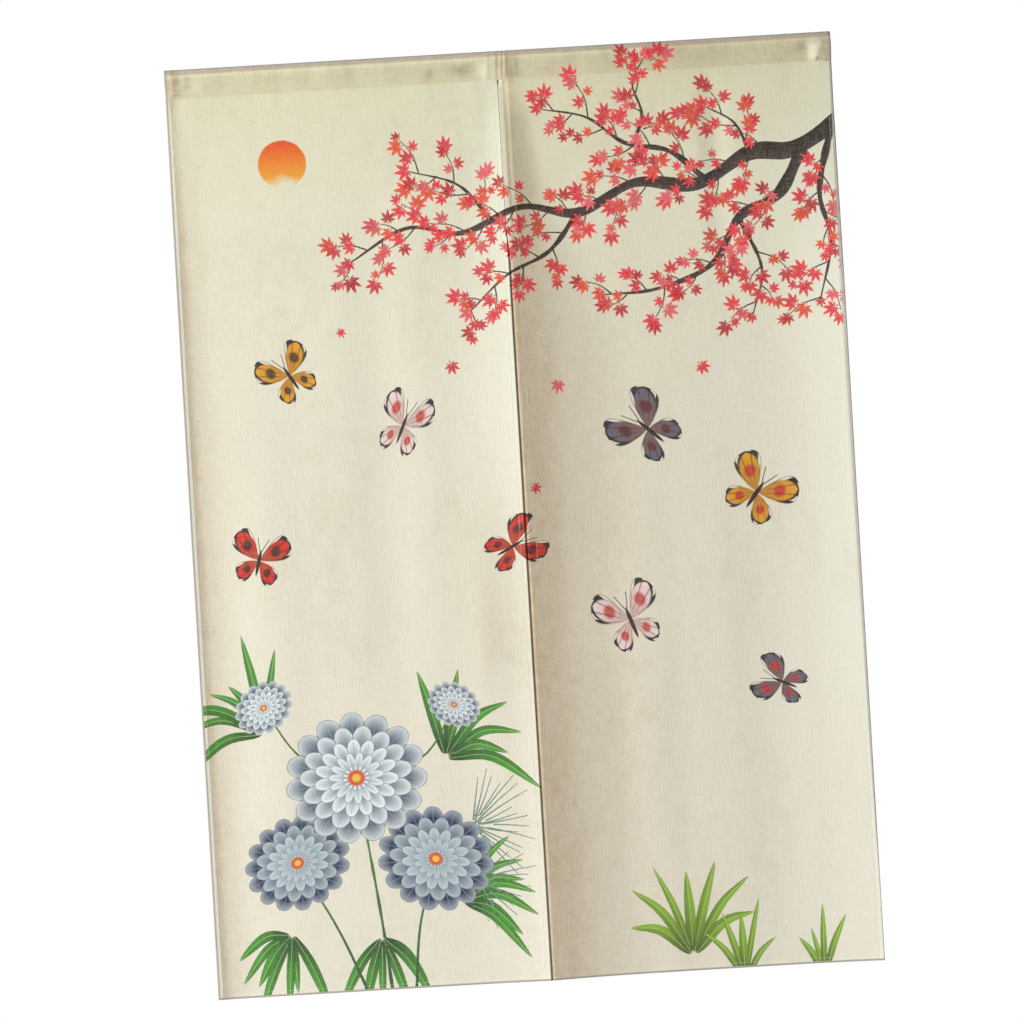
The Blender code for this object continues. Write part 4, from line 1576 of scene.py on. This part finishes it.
def add_floor(settings):
    """A plain pale floor under the hanging curtain."""
    look = Look("pale_floor", 0.8, 0.0)
    where = look.add("ShaderNodeTexCoord", output="Object")
    cloud = look.speckle(where, (3, 3, 3), 3.0)
    colour = look.mix(cloud, (0.80, 0.79, 0.77, 1), (0.84, 0.83, 0.81, 1))
    # The low lamp hardly reaches the floor, so it is brightened for the camera, without lighting the cloth
    seen = look.add("ShaderNodeLightPath", output="Is Camera Ray")
    look.tree.links.new(look.mix(seen, (0, 0, 0, 1), colour).socket, look.shader.inputs["Emission Color"])
    look.shader.inputs["Emission Strength"].default_value = settings.floor_glow
    builder = bmesh.new()
    bmesh.ops.create_grid(builder, x_segments=4, y_segments=4, size=settings.floor_size / 2)
    bmesh.ops.translate(builder, vec=(0, 0, -settings.floor_below), verts=builder.verts)
    floor = new_piece("floor", builder, look.finish(colour, cloud, 0.05, 0.001))


def add_light(name, place, target, size, power, colour):
    lamp = bpy.data.lights.new(name, "AREA")
    lamp.shape = "DISK"
    lamp.size = size
    lamp.energy = power
    lamp.color = colour
    holder = bpy.data.objects.new(name, lamp)
    holder.location = place
    holder.rotation_euler = (Vector(target) - Vector(place)).to_track_quat("-Z", "Y").to_euler()
    bpy.context.scene.collection.objects.link(holder)


def add_world(settings):
    """White behind the curtain, and a dimmer even light on it."""
    world = bpy.data.worlds.new("studio")
    world.use_nodes = True
    tree = world.node_tree
    seen = Value(tree, tree.nodes.new("ShaderNodeLightPath").outputs["Is Camera Ray"])
    strength = seen * (1.0 - settings.fill) + settings.fill
    tree.links.new(strength.socket, tree.nodes["Background"].inputs["Strength"])
    tree.nodes["Background"].inputs["Color"].default_value = (1, 1, 1, 1)
    bpy.context.scene.world = world


def add_camera(settings):
    """Square on to the curtain, rolled as the photo's view is, with the photo's framing."""
    lens = bpy.data.cameras.new("camera")
    lens.sensor_width = 36.0
    lens.lens = lens.sensor_width * settings.view_distance / settings.view_width
    lens.clip_end = 40.0
    camera = bpy.data.objects.new("camera", lens)
    turn = Matrix.Rotation(math.pi / 2, 4, "X") @ Matrix.Rotation(-settings.view_roll, 4, "Z")
    right, up, back = (turn.to_3x3() @ Vector(axis) for axis in ((1, 0, 0), (0, 1, 0), (0, 0, 1)))
    middle = Vector((0, -POCKET_HALF_DEPTH, -DROP / 2))
    offset_x, offset_up = settings.view_offset
    place = middle - right * offset_x - up * offset_up + back * settings.view_distance
    camera.matrix_world = Matrix.Translation(place) @ turn
    bpy.context.scene.collection.objects.link(camera)
    bpy.context.scene.camera = camera


class NorenCloth(bpy.types.PropertyGroup):
    """Sizes and finish of the cloth."""

    cell: FloatProperty(
        name="Mesh cell", description="Size of the cloth's mesh cells", default=0.005, min=0.002, unit="LENGTH"
    )
    pocket_sides: IntProperty(name="Pocket sides", description="Points up each face of the pocket", default=14, min=6)
    roughness: FloatProperty(name="Roughness", description="Roughness of the cloth", default=0.88, subtype="FACTOR")
    sheen: FloatProperty(name="Sheen", description="Sheen of the cloth's fibres", default=0.12, subtype="FACTOR")
    weave_strength: FloatProperty(name="Weave", description="How strongly the weave shows", default=0.45, subtype="FACTOR")
    weave_height: FloatProperty(
        name="Weave height", description="Height of the threads", default=0.0004, unit="LENGTH"
    )
    thread_colour: FloatVectorProperty(
        name="Thread", description="Colour of the sewing thread", default=(0.70, 0.66, 0.50), subtype="COLOR"
    )


class NorenStage(bpy.types.PropertyGroup):
    """The view, the light and the floor."""

    view_distance: FloatProperty(name="Distance", description="Camera to curtain", default=4.2, unit="LENGTH")
    view_width: FloatProperty(name="View width", description="Width seen at the curtain", default=1.3190, unit="LENGTH")
    view_roll: FloatProperty(name="Roll", description="Roll of the view", default=math.radians(3.405), subtype="ANGLE")
    view_offset: FloatVectorProperty(
        name="Offset", description="Curtain's middle in the view, right and up", default=(0.01585, -0.0042), size=2,
        unit="LENGTH",
    )
    fill: FloatProperty(name="Fill", description="Even light from all round", default=0.10, min=0.0)
    key_power: FloatProperty(name="Key light", description="Light from the left", default=1240.0, unit="POWER")
    back_power: FloatProperty(name="Back light", description="Light from behind", default=180.0, unit="POWER")
    floor_below: FloatProperty(name="Floor below", description="Floor under the top edge", default=2.0, unit="LENGTH")
    floor_glow: FloatProperty(
        name="Floor glow", description="How much the floor is brightened for the camera", default=0.42, min=0.0
    )
    floor_size: FloatProperty(name="Floor size", description="Length of the floor's sides", default=8.0, unit="LENGTH")


class NOREN_OT_add_cloth(bpy.types.Operator):
    """Makes both panels and the rod pocket, with the design printed across them"""

    bl_idname = "noren.add_cloth"
    bl_label = "Add printed cloth"

    def execute(self, context):
        settings = context.scene.noren_cloth
        panel_look = printed_cloth("printed_cloth", settings, Print.PANEL, PANEL_STOPS, (1.32, 0.29), PALE_PANEL)
        pocket_look = printed_cloth("pocket_cloth", settings, Print.POCKET, POCKET_STOPS, (1.12, 0.20), PALE_POCKET)
        left, left_print = add_panel("left", settings, panel_look)
        right, right_print = add_panel("right", settings, panel_look)
        pocket, pocket_print = add_pocket(settings, pocket_look)
        prints = [left_print, right_print, pocket_print]
        draw_design(prints)
        for piece_print in prints:
            piece_print.write()
        declare_cloth(left, "left_panel")
        declare_cloth(right, "right_panel")
        declare_cloth(pocket, "rod_pocket")
        return {"FINISHED"}


class NOREN_OT_add_stitching(bpy.types.Operator):
    """Sews the hems and the pocket's seam"""

    bl_idname = "noren.add_stitching"
    bl_label = "Add stitching"

    def execute(self, context):
        thread = thread_look(context.scene.noren_cloth)
        sewn = [
            add_stitches("left_stitching", panel_stitch_rows("left"), thread),
            add_stitches("right_stitching", panel_stitch_rows("right"), thread),
            add_stitches("pocket_stitching", pocket_stitch_rows(), thread),
        ]
        for piece, slot in zip(sewn, ("printed_cloth", "printed_cloth", "pocket_cloth")):
            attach(piece, "root")
        return {"FINISHED"}


class NOREN_OT_add_stage(bpy.types.Operator):
    """Adds the floor, the lights and the camera"""

    bl_idname = "noren.add_stage"
    bl_label = "Add stage"

    def execute(self, context):
        settings = context.scene.noren_stage
        context.scene.view_settings.view_transform = "Standard"
        add_floor(settings)
        add_world(settings)
        add_light("key", (-7.8, -4.5, -0.3), (0, 0, -0.6), 2.2, settings.key_power, (0.985, 1.0, 1.0))
        add_light("back", (0.0, 4.2, 1.4), (0, 0, -0.6), 1.8, settings.back_power, (1.0, 1.0, 1.0))
        add_camera(settings)
        return {"FINISHED"}


class NOREN_PT_panel(bpy.types.Panel):
    """Lists the noren's steps and settings"""

    bl_label = "Noren"
    bl_space_type = "VIEW_3D"
    bl_region_type = "UI"
    bl_category = "Noren"

    def draw(self, context):
        for group in (context.scene.noren_cloth, context.scene.noren_stage):
            for name in group.__annotations__:
                self.layout.prop(group, name)
        for step in STEPS:
            self.layout.operator(step.bl_idname)


STEPS = (NOREN_OT_add_cloth, NOREN_OT_add_stitching, NOREN_OT_add_stage)
CLASSES = (NorenCloth, NorenStage, *STEPS, NOREN_PT_panel)


def register():
    for cls in CLASSES:
        bpy.utils.register_class(cls)
    bpy.types.Scene.noren_cloth = PointerProperty(type=NorenCloth)
    bpy.types.Scene.noren_stage = PointerProperty(type=NorenStage)


def unregister():
    del bpy.types.Scene.noren_stage
    del bpy.types.Scene.noren_cloth
    for cls in reversed(CLASSES):
        bpy.utils.unregister_class(cls)


def main():
    register()
    bpy.ops.noren.add_cloth()
    bpy.ops.noren.add_stitching()
    bpy.ops.noren.add_stage()


if __name__ == "__main__":
    main()
